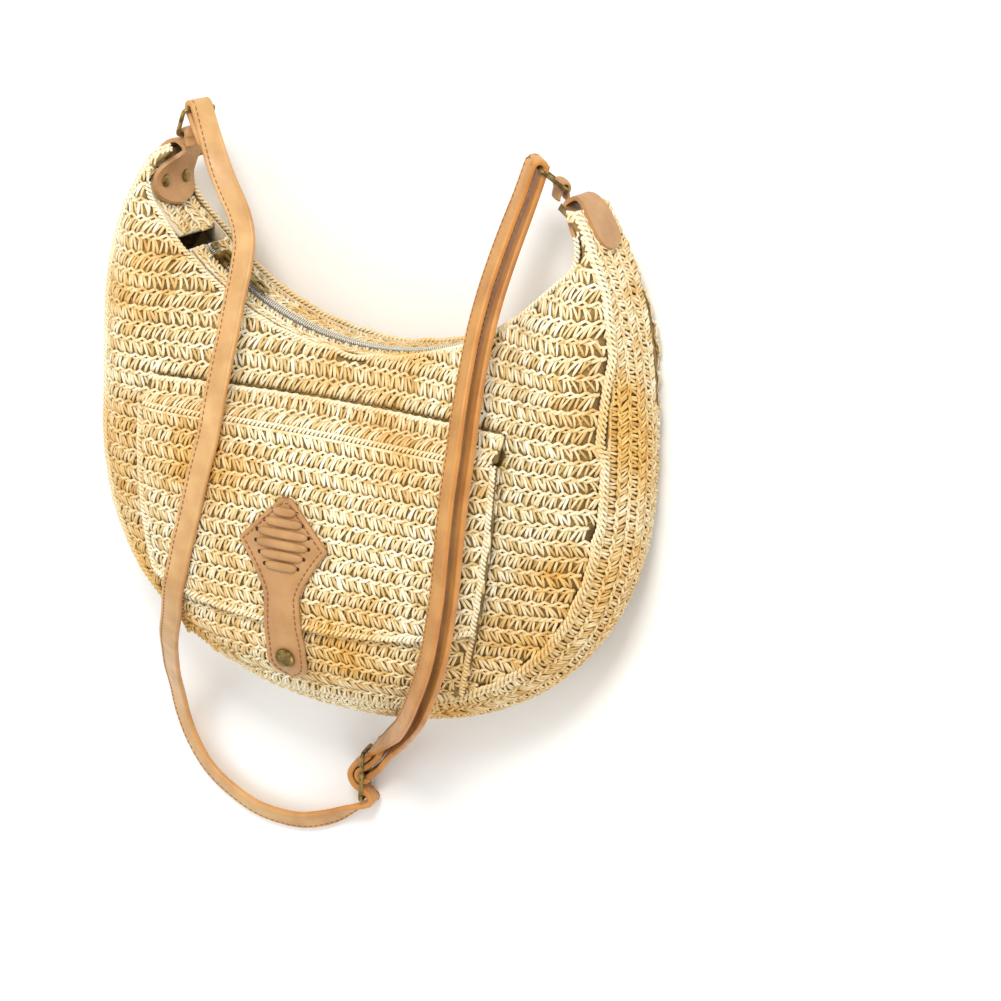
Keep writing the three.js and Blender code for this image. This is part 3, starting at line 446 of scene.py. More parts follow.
LEFT_RUN = [
    (-104.6, 313.5, 54.2, 57), (-100.3, 304.5, 55.5, 52), (-94, 293, 58, 40), (-86, 281.5, 61, 25),
    (-76.5, 270, 65, 12), (-70, 257.5, 69.5, 4), (-68, 243, 75, 0), (-66.7, 228.2, 82.8, 0),
    (-64.5, 212.5, 91.8, 0),
    (-62.7, 195.8, 101.4, 0), (-61.9, 179, 108.5, 0), (-63.4, 159, 111.3, 0), (-67.3, 138.3, 113.1, 0),
    (-71.1, 119, 113.1, 0), (-75.8, 99.6, 111.9, 0), (-80, 83, 109.5, 0), (-84.8, 69, 105.1, 0),
    (-92.4, 51, 92.5, 0), (-102.3, 32.8, 77.2, -2), (-112.3, 15.1, 57.5, -6), (-120.6, -0.3, 40, -10),
    (-127, -18, 22, -18), (-129.3, -34.7, 11, -26), (-124, -52, 6.6, -32), (-112.6, -66.8, 5.8, -35),
    (-95.9, -77.7, 5.7, -35), (-77.8, -84.5, 5.7, -35), (-53.5, -85.3, 6, -37), (-33.8, -78.7, 6.9, -48),
    (-19.2, -69.9, 8.4, -75),
]
WEAVE = [(5, -16), (4, -12), (0, -9), (-5, -5.8), (-7.6, 0), (-5, 5.8), (0, 9), (4, 13)]
RIGHT_RUN = [
    (-4.6, -29.5, 12.5, -108), (1.5, -25, 19, -118), (11, -17, 31, -128), (24.5, -6, 50, -138),
    (39, 6.1, 72.2, -143), (52.4, 22, 90.7, -143), (62.6, 39.5, 102.1, -143), (69.6, 54, 109.5, -143),
    (75.3, 71.5, 115.5, -143), (80, 100, 119.7, -143), (81.7, 126, 121.2, -143), (82.7, 151, 120.6, -143),
    (83.2, 173, 117.3, -143), (82.6, 193.9, 112.4, -143), (80.6, 214.1, 102.7, -143),
    (78.1, 233.3, 90.6, -142),
    (77.5, 251, 80, -140), (79.3, 269, 72, -138), (82.2, 286, 65.5, -136), (85.6, 301, 61, -134),
]
RETURN_RUN = [
    (90.5, 300, 55.5, -46), (87.3, 285, 59.5, -44), (84.3, 268, 65.5, -42), (82.5, 250, 73.5, -40),
    (83.1, 232.3, 84, -38), (85.5, 213.6, 96.2, -37), (87.5, 193.9, 105.8, -37), (88.1, 173, 110.7, -37),
    (87.6, 151, 114, -37), (86.6, 126, 114.6, -37), (84.9, 100, 113.1, -37), (80.2, 70.8, 109, -37),
    (74.6, 53, 103.4, -37), (67.6, 38, 95.7, -37), (57.6, 21, 84.7, -37), (44.5, 6.6, 66.2, -40),
    (31, -6, 45, -46),
    (18.5, -18, 27, -55), (8.5, -28, 17, -66), (2.7, -35.5, 12.5, -74), (-1.2, -41, 10.2, -78),
]
SEWN_END = [(1, 4.6), (5, 8), (9, 12.5), (12.4, 16.5), (15.4, 20)]
SEWN_LIFT = [0, 0.6, 2.4, 6.1, 10.7]


def round_bar(centre, side, onward, start, end, across):
    angles = np.radians(np.linspace(start, end, 7))
    return [(centre + LOOP_RADIUS * (side * math.cos(a) + onward * math.sin(a)), across) for a in angles]


def run_points(run):
    return [(np.array([x, y, z], float), math.radians(tilt)) for x, y, z, tilt in run]


def buckle_points(pairs, lifts):
    return [
        (BUCKLE_CENTRE + BUCKLE_SIDE * p + BUCKLE_AHEAD * q + np.array([0, 0, lift]), -BUCKLE_BAR)
        for (p, q), lift in zip(pairs, lifts)
    ]


def hanging_way(ring, way):
    way = np.array(way, float)
    way = unit(way - ring["bar"] * way.dot(ring["bar"]))
    return way, np.cross(way, ring["bar"])


def strap_route():
    left, right = RINGS["left"], RINGS["right"]
    left_way, left_out = hanging_way(left, (0.43, -0.89, 0.12))
    right_way, right_out = hanging_way(right, (-0.25, -0.95, 0.1))
    left_end = left["far"] - left_out * LOOP_RADIUS
    tail = [(left_end + left_way * reach + left_out * reach * 0.165, -left["bar"]) for reach in (20, 13, 6)]
    return (
        tail
        + round_bar(left["far"], left_out, -left_way, 180, 0, -left["bar"])
        + run_points(LEFT_RUN)
        + buckle_points(WEAVE, [0] * len(WEAVE))
        + run_points(RIGHT_RUN)
        + round_bar(right["far"], right_out, -right_way, 0, 180, -right["bar"])
        + run_points(RETURN_RUN)
        + round_bar(BUCKLE_CENTRE, BUCKLE_SIDE, BUCKLE_AHEAD, 0, -225, -BUCKLE_BAR)
        + buckle_points(SEWN_END, SEWN_LIFT)
    )


def strap_stations(per_span=3):
    """The strap's centre line, smoothed, with the way its width and its thickness point."""
    route = strap_route()
    points = np.array([p for p, _ in route])
    wides = []
    for i, (_, across) in enumerate(route):
        way = unit(points[min(i + 1, len(route) - 1)] - points[max(i - 1, 0)])
        if np.ndim(across) == 0:
            level = unit([way[1], -way[0], 0])
            across = level * math.cos(across) + np.cross(level, way) * math.sin(across)
        wides.append(unit(across - way * np.dot(across, way)))
    wides = np.array(wides)

    def smoothed(values):
        padded = np.concatenate([[2 * values[0] - values[1]], values, [2 * values[-1] - values[-2]]])
        made = []
        for i in range(len(values) - 1):
            a, b, c, d = padded[i:i + 4]
            for t in np.arange(per_span) / per_span:
                made.append(0.5 * (2 * b + (c - a) * t + (2 * a - 5 * b + 4 * c - d) * t * t
                                   + (3 * b - a - 3 * c + d) * t ** 3))
        return np.array(made + [values[-1]])

    line = smoothed(points)
    wide = smoothed(wides)
    way = unit(np.gradient(line, axis=0))
    wide = unit(wide - way * (wide * way).sum(1, keepdims=True))
    return line, wide, np.cross(wide, way)


STRAP_HALF_SECTION = [
    (6.5, 0.0), (6.42, 0.75), (6.1, 1.3), (5.6, 1.6), (5.0, 1.66),
    (4.5, 1.42), (4.1, 1.42), (3.4, 1.6), (0.0, 1.7),
]
STRAP_GROOVE = (4.35, 1.42)  # the sewn groove: distance from the middle, height
DOUBLED_FROM = 540  # where along the strap its double run begins, which is painted darker as shade
DOUBLED_FADE = 60
# How much darker and more orange the double run is painted: painted shade between its two layers.
DOUBLED_SHADE = 0.75
THREAD_PITCH = 3.4
THREAD_STITCH = 2.3


def strap_section():
    upper = STRAP_HALF_SECTION + [(-x, y) for x, y in STRAP_HALF_SECTION[-2::-1]]
    lower = [(-x, -y) for x, y in upper[1:-1]]
    return np.array(upper + lower)


def in_frame(points):
    return (np.asarray(points, float) - np.array([MIDDLE_X, MIDDLE_Y, 0])) * MM


def make_strap():
    line, wide, up = strap_stations()
    section = strap_section()
    out, rise = section[:, 0][:, None], section[:, 1][:, None]
    rings = line[:, None] + wide[:, None] * out + up[:, None] * rise
    reach = reach_along(line)
    soup = Soup()
    quads = ring_quads(len(line), len(section))
    edge = np.tile(np.abs(section[:, 0]) / STRAP_WIDTH * 2, len(line)) ** 4
    # The double run is painted darker as shade.
    doubled_shade = np.repeat(np.clip((reach - DOUBLED_FROM) / DOUBLED_FADE, 0, 1) * DOUBLED_SHADE, len(section))
    soup.add(in_frame(rings), quads, doubled_shade, edge)
    strap = soup.build("strap_leather", TAN)
    length = reach[-1] * MM

    thread = Soup()
    for face in (1, -1):
        starts = np.arange(4, reach[-1] - 4, THREAD_PITCH)
        steps = starts[:, None] + np.linspace(0, THREAD_STITCH, 4)[None]
        centre = sample(steps, reach, line)
        across = unit(sample(steps, reach, wide))
        lift = unit(sample(steps, reach, up))
        arch = np.array([-0.25, 0.12, 0.12, -0.25])[None, :, None]
        paths = centre + across * STRAP_GROOVE[0] + lift * face * (STRAP_GROOVE[1] + arch)
        tubes(thread, in_frame(paths), lift, 0.34 * MM, 0.3 * MM)
    threads = thread.build("strap_stitching", THREAD)
    attach(strap, "strap", "leather", "strap")
    attach(threads, "strap", "leather")
    return strap, threads, in_frame(line), length


strap, strap_threads, strap_path, strap_length = make_strap()


def wire_loop(soup, centre, right, ahead, half_right, half_ahead, corner, sides=16):
    stations = []
    outward = []
    for sign_right, sign_ahead, start in ((1, 1, 0), (-1, 1, 90), (-1, -1, 180), (1, -1, 270)):
        for step in range(7):
            angle = math.radians(start + 15 * step)
            x = sign_right * (half_right - corner) + corner * math.cos(angle)
            y = sign_ahead * (half_ahead - corner) + corner * math.sin(angle)
            stations.append(centre + right * x + ahead * y)
            outward.append(right * math.cos(angle) + ahead * math.sin(angle))
    tubes(soup, in_frame(stations)[None], np.array(outward)[None], WIRE * MM, WIRE * MM, sides, closed=True)


def make_hardware():
    for name, ring in RINGS.items():
        soup = Soup()
        centre = ring["pivot"] + ring["rail"] * RING_RAIL / 2
        wire_loop(soup, centre, ring["bar"], ring["rail"], RING_BAR / 2, RING_RAIL / 2, WIRE_CORNER)
        attach(soup.build(f"{name}_ring_wire", BRASS), "strap", "brass", f"{name}_ring")
    soup = Soup()
    wire_loop(soup, BUCKLE_CENTRE, BUCKLE_BAR, BUCKLE_AHEAD, RING_BAR / 2, BUCKLE_REACH, WIRE_CORNER)
    ends = np.array([BUCKLE_CENTRE - BUCKLE_BAR * RING_BAR / 2, BUCKLE_CENTRE + BUCKLE_BAR * RING_BAR / 2])
    tubes(soup, in_frame(ends)[None], BUCKLE_AHEAD, WIRE * MM, WIRE * MM, 16)
    buckle = soup.build("strap_buckle_wire", BRASS)
    attach(buckle, "strap", "brass", "strap_buckle")
    return buckle


buckle = make_hardware()

# ---------------------------------------------------------------- sizes shared with the CAD source

FLAP_TOP = 167 - MIDDLE_Y
FLAP_SEAM = 181 - MIDDLE_Y
FLAP_LOW = 62 - MIDDLE_Y
FLAP_CORNER_RISE = 12
FLAP_HALF = 106
POCKET_X = -6 - MIDDLE_X
POCKET_HALF = 104
POCKET_TAPER = 24
POCKET_DROP = 142
POCKET_TOP = 164 - MIDDLE_Y
MOUTH_CENTRE = (-4 - MIDDLE_X, 354 - MIDDLE_Y)
ZIP_LEVEL = 39
ZIP_END = 43  # half the angle that the zip spans
ZIP_CLEAR = 4.6
COIL_RADIUS = 150.6

# ---------------------------------------------------------------- surfaces read off the CAD nodes


def tree_of(*names):
    points, faces = [], []
    for name in names:
        mesh = nodes[name].data
        base = len(points)
        points += [v.co.copy() for v in mesh.vertices]
        faces += [[base + i for i in p.vertices] for p in mesh.polygons]
    return BVHTree.FromPolygons(points, faces)


class Surface:
    """A grid of points on a CAD node; u and v are millimetres along it."""

    def __init__(self, points, valid, u0, v0, step, unknown, sign):
        self.u0, self.v0, self.step = u0, v0, step
        self.valid = valid
        points = points.copy()
        known = valid.copy()
        for _ in range(12):
            total = np.zeros(points.shape)
            count = np.zeros(known.shape)
            for du, dv in ((1, 0), (-1, 0), (0, 1), (0, -1)):
                near = np.roll(known, (du, dv), (0, 1))
                total += np.roll(points, (du, dv), (0, 1)) * near[..., None]
                count += near
            grow = ~known & (count > 0)
            for axis in unknown:
                points[..., axis][grow] = (total[..., axis] / np.maximum(count, 1))[grow]
            known |= grow
        for _ in range(2):
            padded = np.pad(points, ((1, 1), (1, 1), (0, 0)), "edge")
            around = padded[2:, 1:-1] + padded[:-2, 1:-1] + padded[1:-1, 2:] + padded[1:-1, :-2]
            mean = (around + 2 * points) / 6
            for axis in unknown:
                points[..., axis][known] = mean[..., axis][known]
        self.points = points
        along_u = np.gradient(points, axis=0)
        along_v = np.gradient(points, axis=1)
        self.normals = unit(np.cross(along_u, along_v)) * sign

    def cells(self, u, v):
        i = np.clip((u - self.u0) / self.step, 0, self.points.shape[0] - 1.001)
        j = np.clip((v - self.v0) / self.step, 0, self.points.shape[1] - 1.001)
        return i.astype(int), j.astype(int), i % 1, j % 1

    def at(self, u, v, lift=0.0):
        """Points and normals at u, v, raised by lift millimetres."""
        u, v = np.broadcast_arrays(np.asarray(u, float), np.asarray(v, float))
        i, j, a, b = self.cells(u, v)

        def read(grid):
            a1, b1 = a[..., None], b[..., None]
            low = grid[i, j] * (1 - a1) + grid[i + 1, j] * a1
            high = grid[i, j + 1] * (1 - a1) + grid[i + 1, j + 1] * a1
            return low * (1 - b1) + high * b1

        normals = unit(read(self.normals))
        return read(self.points) + normals * np.asarray(lift, float)[..., None] * MM, normals

    def inside(self, u, v):
        i, j, a, b = self.cells(np.asarray(u, float), np.asarray(v, float))
        return self.valid[np.clip(i + (a > 0.5), 0, self.valid.shape[0] - 1),
                          np.clip(j + (b > 0.5), 0, self.valid.shape[1] - 1)]

    def nearest(self, u, v):
        i, j, a, b = self.cells(u, v)
        return i + (a > 0.5), j + (b > 0.5)

    def clamp(self, u, v, centre_u, centre_v):
        """Keeps u, v on the stretch of the surface that holds its stitch's centre."""
        if not hasattr(self, "runs"):
            self.runs = [run_ends(self.valid, axis) for axis in (0, 1)]
        (low_u, high_u), (low_v, high_v) = self.runs
        u, v, centre_u, centre_v = np.broadcast_arrays(u, v, centre_u, centre_v)
        i, j = self.nearest(centre_u, centre_v)
        half = 0.4
        floor, top = low_v[i, j] - half, high_v[i, j] + half
        v = np.clip(v, self.v0 + floor * self.step, self.v0 + top * self.step)
        j = self.nearest(centre_u, v)[1]
        low, high = low_u[i, j] - half, high_u[i, j] + half
        clipped = np.clip(u, self.u0 + low * self.step, self.u0 + high * self.step)
        return np.where(self.valid[i, j], clipped, u), v


def run_ends(valid, axis):
    """For each cell, the first and last index of its unbroken run of valid cells along an axis."""
    cells = valid if axis == 0 else valid.T
    index = np.arange(cells.shape[0])[:, None] * np.ones(cells.shape, int)
    low, high = index.copy(), index.copy()
    for k in range(1, cells.shape[0]):
        low[k] = np.where(cells[k] & cells[k - 1], low[k - 1], k)
    for k in range(cells.shape[0] - 2, -1, -1):
        high[k] = np.where(cells[k] & cells[k + 1], high[k + 1], k)
    return (low, high) if axis == 0 else (low.T, high.T)


GRID = 2.5


def height_surface(name, sign=1):
    """The node's side that faces +Z (or -Z), over its whole box."""
    low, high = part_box(name)
    tree = tree_of(name)
    us = np.arange(low.x / MM - 2 * GRID, high.x / MM + 2 * GRID, GRID)
    vs = np.arange(low.y / MM - 2 * GRID, high.y / MM + 2 * GRID, GRID)
    points = np.zeros((len(us), len(vs), 3))
    valid = np.zeros((len(us), len(vs)), bool)
    start = 0.3 if sign > 0 else -0.1
    for i, x in enumerate(us):
        for j, y in enumerate(vs):
            hit = tree.ray_cast(Vector((x * MM, y * MM, start)), Vector((0, 0, -sign)))[0]
            points[i, j] = (x * MM, y * MM, hit.z if hit else 0)
            valid[i, j] = hit is not None
    return Surface(points, valid, us[0], vs[0], GRID, (2,), sign)


RIM_CENTRE = (0.0, -0.01)


def radial_surface(names, centre, degrees, level_range, outward):
    """The nodes' sides that face away from a centre, or towards it where outward is set, and their length.
    u runs along the surface, by length; v is the height above the floor."""
    tree = tree_of(*names)
    levels = np.arange(level_range[0], level_range[1], GRID)
    middle_level = 0.5 * (level_range[0] + level_range[1])

    def hit(angle, level):
        way = Vector((math.cos(angle), math.sin(angle), 0))
        origin = Vector((*centre, level * MM))
        found = tree.ray_cast(origin, way)[0] if outward else tree.ray_cast(origin + way * 0.4, -way)[0]
        return found if found is not None and 0.05 < (found - origin).dot(way) < 0.3 else None

    angles = np.radians(np.linspace(*degrees, 720))
    middle = [(a, hit(a, middle_level)) for a in angles]
    kept = [(a, p) for a, p in middle if p is not None]
    line = np.array([p for _, p in kept])
    reach = reach_along(line) / MM
    us = np.arange(0, reach[-1], GRID)
    along = np.interp(us, reach, [a for a, _ in kept])
    points = np.zeros((len(us), len(levels), 3))
    valid = np.zeros((len(us), len(levels)), bool)
    for i, angle in enumerate(along):
        for j, level in enumerate(levels):
            found = hit(angle, level)
            points[i, j] = (*(found[:2] if found is not None else (0, 0)), level * MM)
            valid[i, j] = found is not None
    surface = Surface(points, valid, 0, levels[0], GRID, (0, 1), -1 if outward else 1)
    surface.angles = np.stack([us, along])
    return surface, reach[-1]


# ---------------------------------------------------------------- crochet

ROW = 8.8
STITCH = 6.2
LEG_THICK = 0.55
RIDGE_HALF = 1.1
RIDGE_THICK = 0.7
ROPE_HALF = 0.9
ROPE_THICK = 0.75


def strand_colours(count):
    return np.clip(rng.normal(0.6, 0.22, count), 0, 1)


def crochet(soup, surface, u_range, v_range, keep=None, lift=0.0):
    """Rows of stitches along u: fans of slanting strands between wavy ridges."""
    columns = int((u_range[1] - u_range[0]) / STITCH) + 1
    rows = max(1, int(round((v_range[1] - v_range[0]) / ROW)))
    row = (v_range[1] - v_range[0]) / rows
    for r in range(rows):
        base = v_range[0] + r * row
        u = u_range[0] + STITCH * (np.arange(columns) + 0.5 * (r % 2))
        middle = u + 0.5 * STITCH
        good = surface.inside(middle, np.full(columns, base + 0.5 * row)) & (middle < u_range[1])
        if keep is not None:
            good &= keep(middle, base + 0.5 * row)
        if not good.any():
            continue
        lean = 1 if r % 2 else -1
        legs(soup, surface, u[good], base, row, lean, lift)
        edges = np.flatnonzero(np.diff(np.concatenate([[0], good.astype(int), [0]])))
        for first, last in zip(edges[::2], edges[1::2]):
            ridges(soup, surface, u[first], last - first, base, row, lift)


# Each leg as (start a, end a, start b, end b, height, bulge, half width): a in stitches, b in rows.
LEGS = [
    (0.10, 0.34, 0.90, 0.08, -0.25, 0.80, 0.98),
    (0.30, 0.80, 0.92, 0.04, -0.15, 0.95, 1.05),
    (0.50, 1.22, 0.90, 0.10, -0.35, 0.80, 0.98),
    (1.02, 0.52, 0.82, 0.20, -0.85, 0.30, 0.95),
]


def legs(soup, surface, u, base, row, lean, lift):
    t = np.linspace(0, 1, 5)
    count = len(u)
    for index, (a0, a1, b0, b1, height, bulge, half) in enumerate(LEGS):
        shake = rng.normal(0, 0.045, (count, 3))
        a = (a0 + shake[:, :1]) + (a1 - a0 + shake[:, 1:2]) * t
        a = a if lean > 0 else 1 - a
        b = b0 + (b1 - b0) * t + 0.5 * shake[:, 2:3]
        bow = 0.06 * np.sin(math.pi * t) * lean
        h = height + bulge * np.sin(math.pi * t) ** 0.8 + rng.normal(0, 0.08, (count, 1))
        us, vs = surface.clamp(
            u[:, None] + (a + bow) * STITCH, base + b * row, u[:, None] + 0.5 * STITCH, base + 0.5 * row
        )
        paths, normals = surface.at(us, vs, h + lift)
        paths = paths + unit(np.roll(paths, -1, 1) - paths) * 1e-7
        wide = (half + rng.normal(0, 0.1, (count, 1))) * (0.72 + 0.28 * np.sin(math.pi * t))
        # The fourth leg, which lies lowest, is painted 0.2 darker, and every leg is painted darker the lower
        # it lies: painted shade.
        tone = strand_colours(count) - (0.2 if index == 3 else 0)
        rise = np.clip(0.55 + 0.7 * h, 0, 1)
        tubes(soup, paths, normals, wide * MM, LEG_THICK * MM, 4, np.clip(tone, 0, 1), rise)


# Each ridge strand as (b, swing, phase, height, height swing).
RIDGES = [(0.98, 0.12, 0.0, 0.15, 0.35), (0.85, 0.10, 0.5, 0.0, 0.35)]


def ridges(soup, surface, start, count, base, row, lift):
    a = np.arange(0, count * 4 + 1) / 4
    turns = 2 * math.pi * a
    centre = start + (np.minimum(np.floor(a), count - 1) + 0.5) * STITCH
    for b0, swing, phase, height, wave in RIDGES:
        wander = np.interp(a, np.arange(0, count + 2), rng.normal(0, 0.03, count + 2))
        b = b0 + swing * np.sin(turns + 2 * math.pi * phase) + wander
        h = height + wave * np.cos(turns + 2 * math.pi * phase)
        us, vs = surface.clamp(start + a * STITCH, base + b * row, centre, base + 0.5 * row)
        paths, normals = surface.at(us[None], vs[None], (h + lift)[None])
        # Ridge strands, on top of the row, are painted 0.15 lighter as a painted highlight, and darker where
        # they dip, as painted shade.
        tone = np.repeat(strand_colours(count + 1), 4)[:len(a)]
        rise = np.clip(0.65 + 0.6 * h, 0, 1)
        tubes(soup, paths, normals, RIDGE_HALF * MM, RIDGE_THICK * MM, 4, tone[None] + 0.15, rise[None])


def edging(soup, points, normals, radius=1.1, pitch=5.0):
    """Two strands twisted round a line, as along a hem or a seam."""
    reach = reach_along(points) / MM
    steps = np.arange(0, reach[-1], pitch / 6)
    line = sample(steps, reach, points)
    up = unit(sample(steps, reach, normals))
    side = unit(np.cross(unit(np.gradient(line, axis=0)), up))
    for phase in (0, math.pi):
        angle = 2 * math.pi * steps / pitch + phase
        offset = side * np.cos(angle)[:, None] + up * np.sin(angle)[:, None]
        paths = line + offset * radius * MM
        # The rope is painted lighter than the stitches, a painted highlight on its raised strands, with
        # random tone on top and a little painted shade.
        tone = np.clip(0.85 + rng.normal(0, 0.1, len(steps)), 0, 1)
        tubes(soup, paths[None], up[None], ROPE_HALF * MM, ROPE_THICK * MM, 4, tone[None], 0.85)


INSET = 0.9


def soft_copy(name, piece_name, material, inset=0.0):
    """A piece made from a CAD node's mesh, drawn in by inset millimetres."""
    source = nodes[name].data
    mesh = bpy.data.meshes.new(piece_name)
    mesh.from_pydata([tuple(v.co) for v in source.vertices], [], [tuple(p.vertices) for p in source.polygons])
    mesh.update()
    work = bmesh.new()
    work.from_mesh(mesh)
    bmesh.ops.remove_doubles(work, verts=work.verts, dist=1e-6)
    bmesh.ops.recalc_face_normals(work, faces=work.faces)
    if inset:
        work.normal_update()
        moves = [v.normal.copy() for v in work.verts]
        for vertex, normal in zip(work.verts, moves):
            vertex.co -= normal * inset * MM
    work.to_mesh(mesh)
    work.free()
    mesh.polygons.foreach_set("use_smooth", np.full(len(mesh.polygons), True))
    mesh.materials.append(material)
    return add_object(piece_name, mesh)


def soft(name, piece_name, material, body="bag", slot="straw", inset=0.0):
    """A soft piece that copies a CAD node and replaces it."""
    attach(soft_copy(name, piece_name, material, inset), body, slot, name)


def sewn(soup, name, body="bag"):
    """The gathered stitches as one straw piece."""
    attach(soup.build(name, STRAW), body, "straw")


def pocket_half(v):
    drop = np.maximum(0, POCKET_TOP - np.asarray(v, float)) / POCKET_DROP
    return POCKET_HALF - POCKET_TAPER * drop ** 2.2


def outside_pocket(u, v):
    margin = 5 if v < FLAP_TOP else 0
    return (np.abs(u - POCKET_X) > pocket_half(v) - margin) | (v > FLAP_SEAM - 1)


def rim_line(surface, centre, angles, nearest):
    """Stretches of the surface's edge seen from a centre: each ray's first or last place inside."""
    points, normals = [], []
    reach = np.arange(40, 260, 0.5)
    for angle in angles:
        u = centre[0] + reach * math.cos(angle)
        v = centre[1] + reach * math.sin(angle)
        within = np.flatnonzero(surface.inside(u, v) & (u > surface.u0) & (v > surface.v0))
        if len(within):
            k = within[0] if nearest else within[-1]
            point, normal = surface.at(u[k], v[k], 0.0)
            points.append(point)
            normals.append(normal)
    points, normals = np.array(points), np.array(normals)
    jumps = np.flatnonzero(np.linalg.norm(np.diff(points, axis=0), axis=1) > 14 * MM) + 1
    parts = [part for part in zip(np.split(points, jumps), np.split(normals, jumps)) if len(part[0]) > 8]
    for line, _ in parts:
        for _ in range(6):
            line[1:-1] = (line[:-2] + line[2:] + 2 * line[1:-1]) / 4
    return parts


PANEL_HALF = 160
PANEL_TOP = FLAP_SEAM + ROW * 14
PANEL_ROWS = 36
HEM_ANGLES = np.radians(np.linspace(210, 330, 160))
SEAM_ANGLES = np.radians(np.linspace(129, 411, 400))
SEAM_CENTRE = (0, -10)
SEAM_COVER_OUT = 1.6  # the second rope along the front seam lies this far out and down, over the gap
SEAM_COVER_DROP = 1.4
BACK_LIFT = -0.75
BACK_HEM_LIFT = 1.9


def make_body():
    across = (-PANEL_HALF, PANEL_HALF)
    rows = (PANEL_TOP - ROW * PANEL_ROWS, PANEL_TOP)
    front = height_surface("front_panel")
    soup = Soup()
    crochet(soup, front, across, rows, outside_pocket)
    for hem in rim_line(front, MOUTH_CENTRE, HEM_ANGLES, True):
        edging(soup, *hem)
    for line, normals in rim_line(front, SEAM_CENTRE, SEAM_ANGLES, False):
        edging(soup, line, normals, radius=0.8, pitch=6)
        outward = unit((line - np.array([*SEAM_CENTRE, 0]) * MM) * np.array([1, 1, 0]))
        covered = line + (outward * SEAM_COVER_OUT - np.array([0, 0, SEAM_COVER_DROP])) * MM
        edging(soup, covered, normals, radius=1.2, pitch=6)
    sewn(soup, "front_stitches")
    # Under the stitches lies a dark sheet of painted shade.
    soft("front_panel", "front_cloth", SHADE, inset=INSET)

    gusset, length = radial_surface(["gusset"], RIM_CENTRE, (120, 420), (4, 76), False)
    soup = Soup()
    crochet(soup, gusset, (0, length), (8, 69))
    sewn(soup, "gusset_stitches")
    soft("gusset", "gusset_shade_sheet", SHADE, inset=INSET)

    back = height_surface("back_panel", -1)
    soup = Soup()
    crochet(soup, back, across, rows, lift=BACK_LIFT)
    for line, normals in rim_line(back, MOUTH_CENTRE, HEM_ANGLES, True):
        edging(soup, line + np.array([0, 0, 1]) * BACK_HEM_LIFT * MM, normals)
    sewn(soup, "back_stitches")
    soft("back_panel", "back_cloth", SHADE, inset=INSET)


MOUTH_NODES = [
    "zip_tape_front", "zip_tape_back", "left_horn_facing", "right_horn_facing", "front_panel", "back_panel",
]


def make_mouth():
    """The crocheted hems that turn in over the zip tapes, and the stitches that close the horns."""
    mouth, length = radial_surface(MOUTH_NODES, np.array(MOUTH_CENTRE) * MM, (205, 335), (12, 66), True)
    soup = Soup()
    above, below = ZIP_LEVEL + ZIP_CLEAR, ZIP_LEVEL - ZIP_CLEAR
    crochet(soup, mouth, (0, length), (above, above + 2 * ROW), lift=1.0)
    crochet(soup, mouth, (0, length), (below - 2 * ROW, below), lift=1.0)

    def beyond_zip(u, _):
        return np.abs(np.degrees(np.interp(u, *mouth.angles)) - 270) > ZIP_END + 2.5

    crochet(soup, mouth, (0, length), (below, above), beyond_zip, lift=0.6)
    sewn(soup, "mouth_stitches")


def make_pocket():
    pocket = height_surface("pocket")
    soup = Soup()
    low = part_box("pocket")[0].y / MM
    crochet(soup, pocket, (POCKET_X - POCKET_HALF, POCKET_X + POCKET_HALF), (low, POCKET_TOP))
    levels = np.linspace(POCKET_TOP, low + 12, 40)
    for side in (-1, 1):
        across = POCKET_X + side * (pocket_half(levels) - 1.5)
        held = pocket.inside(across, levels)
        edging(soup, *pocket.at(across[held], levels[held], 0.3))
    sewn(soup, "pocket_stitches")
    soft("pocket", "pocket_shade_sheet", SHADE, inset=INSET)

    flap = height_surface("flap")
    soup = Soup()
    width = (POCKET_X - FLAP_HALF, POCKET_X + FLAP_HALF)
    crochet(soup, flap, width, (FLAP_TOP - 12 * ROW, FLAP_TOP))
    side = np.linspace(-1, 1, 60)
    low = FLAP_LOW + FLAP_CORNER_RISE * np.abs(side) ** 2.5 + 1.5
    line, normals = flap.at(POCKET_X + side * (pocket_half(low) + 0.5), low, 0.2)
    edging(soup, line, normals, radius=1.2)
    levels = np.linspace(FLAP_TOP, FLAP_LOW + 13, 40)
    for edge in (-1, 1):
        edging(soup, *flap.at(POCKET_X + edge * (pocket_half(levels) + 0.5), levels, 0.2))
    across = np.linspace(POCKET_X - POCKET_HALF, POCKET_X + POCKET_HALF, 90)
    line, normals = flap.at(across, np.full(90, FLAP_TOP), -1.2)
    edging(soup, line + np.array([0, 0.5 * MM, 0]), normals, radius=1.3)
    sewn(soup, "flap_stitches", "flap")
    soft("flap", "flap_shade_sheet", SHADE, "flap", inset=INSET)

    fold = height_surface("flap_fold")
    soup = Soup()
    crochet(soup, fold, width, (FLAP_TOP + 0.5, FLAP_SEAM))
    across = np.linspace(POCKET_X - 105, POCKET_X + 105, 90)
    edging(soup, *fold.at(across, np.full(90, FLAP_SEAM - 0.8), 0.2))
    stitches = soup.build("flap_fold_stitches", STRAW)
    # The sheet under the fold's stitches is painted shade.
    shade_sheet = soft_copy("flap_fold", "flap_fold_shade_sheet", SHADE, INSET)
    low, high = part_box("flap_fold")
    for piece in (stitches, shade_sheet):
        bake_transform(piece)
    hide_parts("flap_fold")


make_body()
make_mouth()
make_pocket()

# ---------------------------------------------------------------- zip and lining


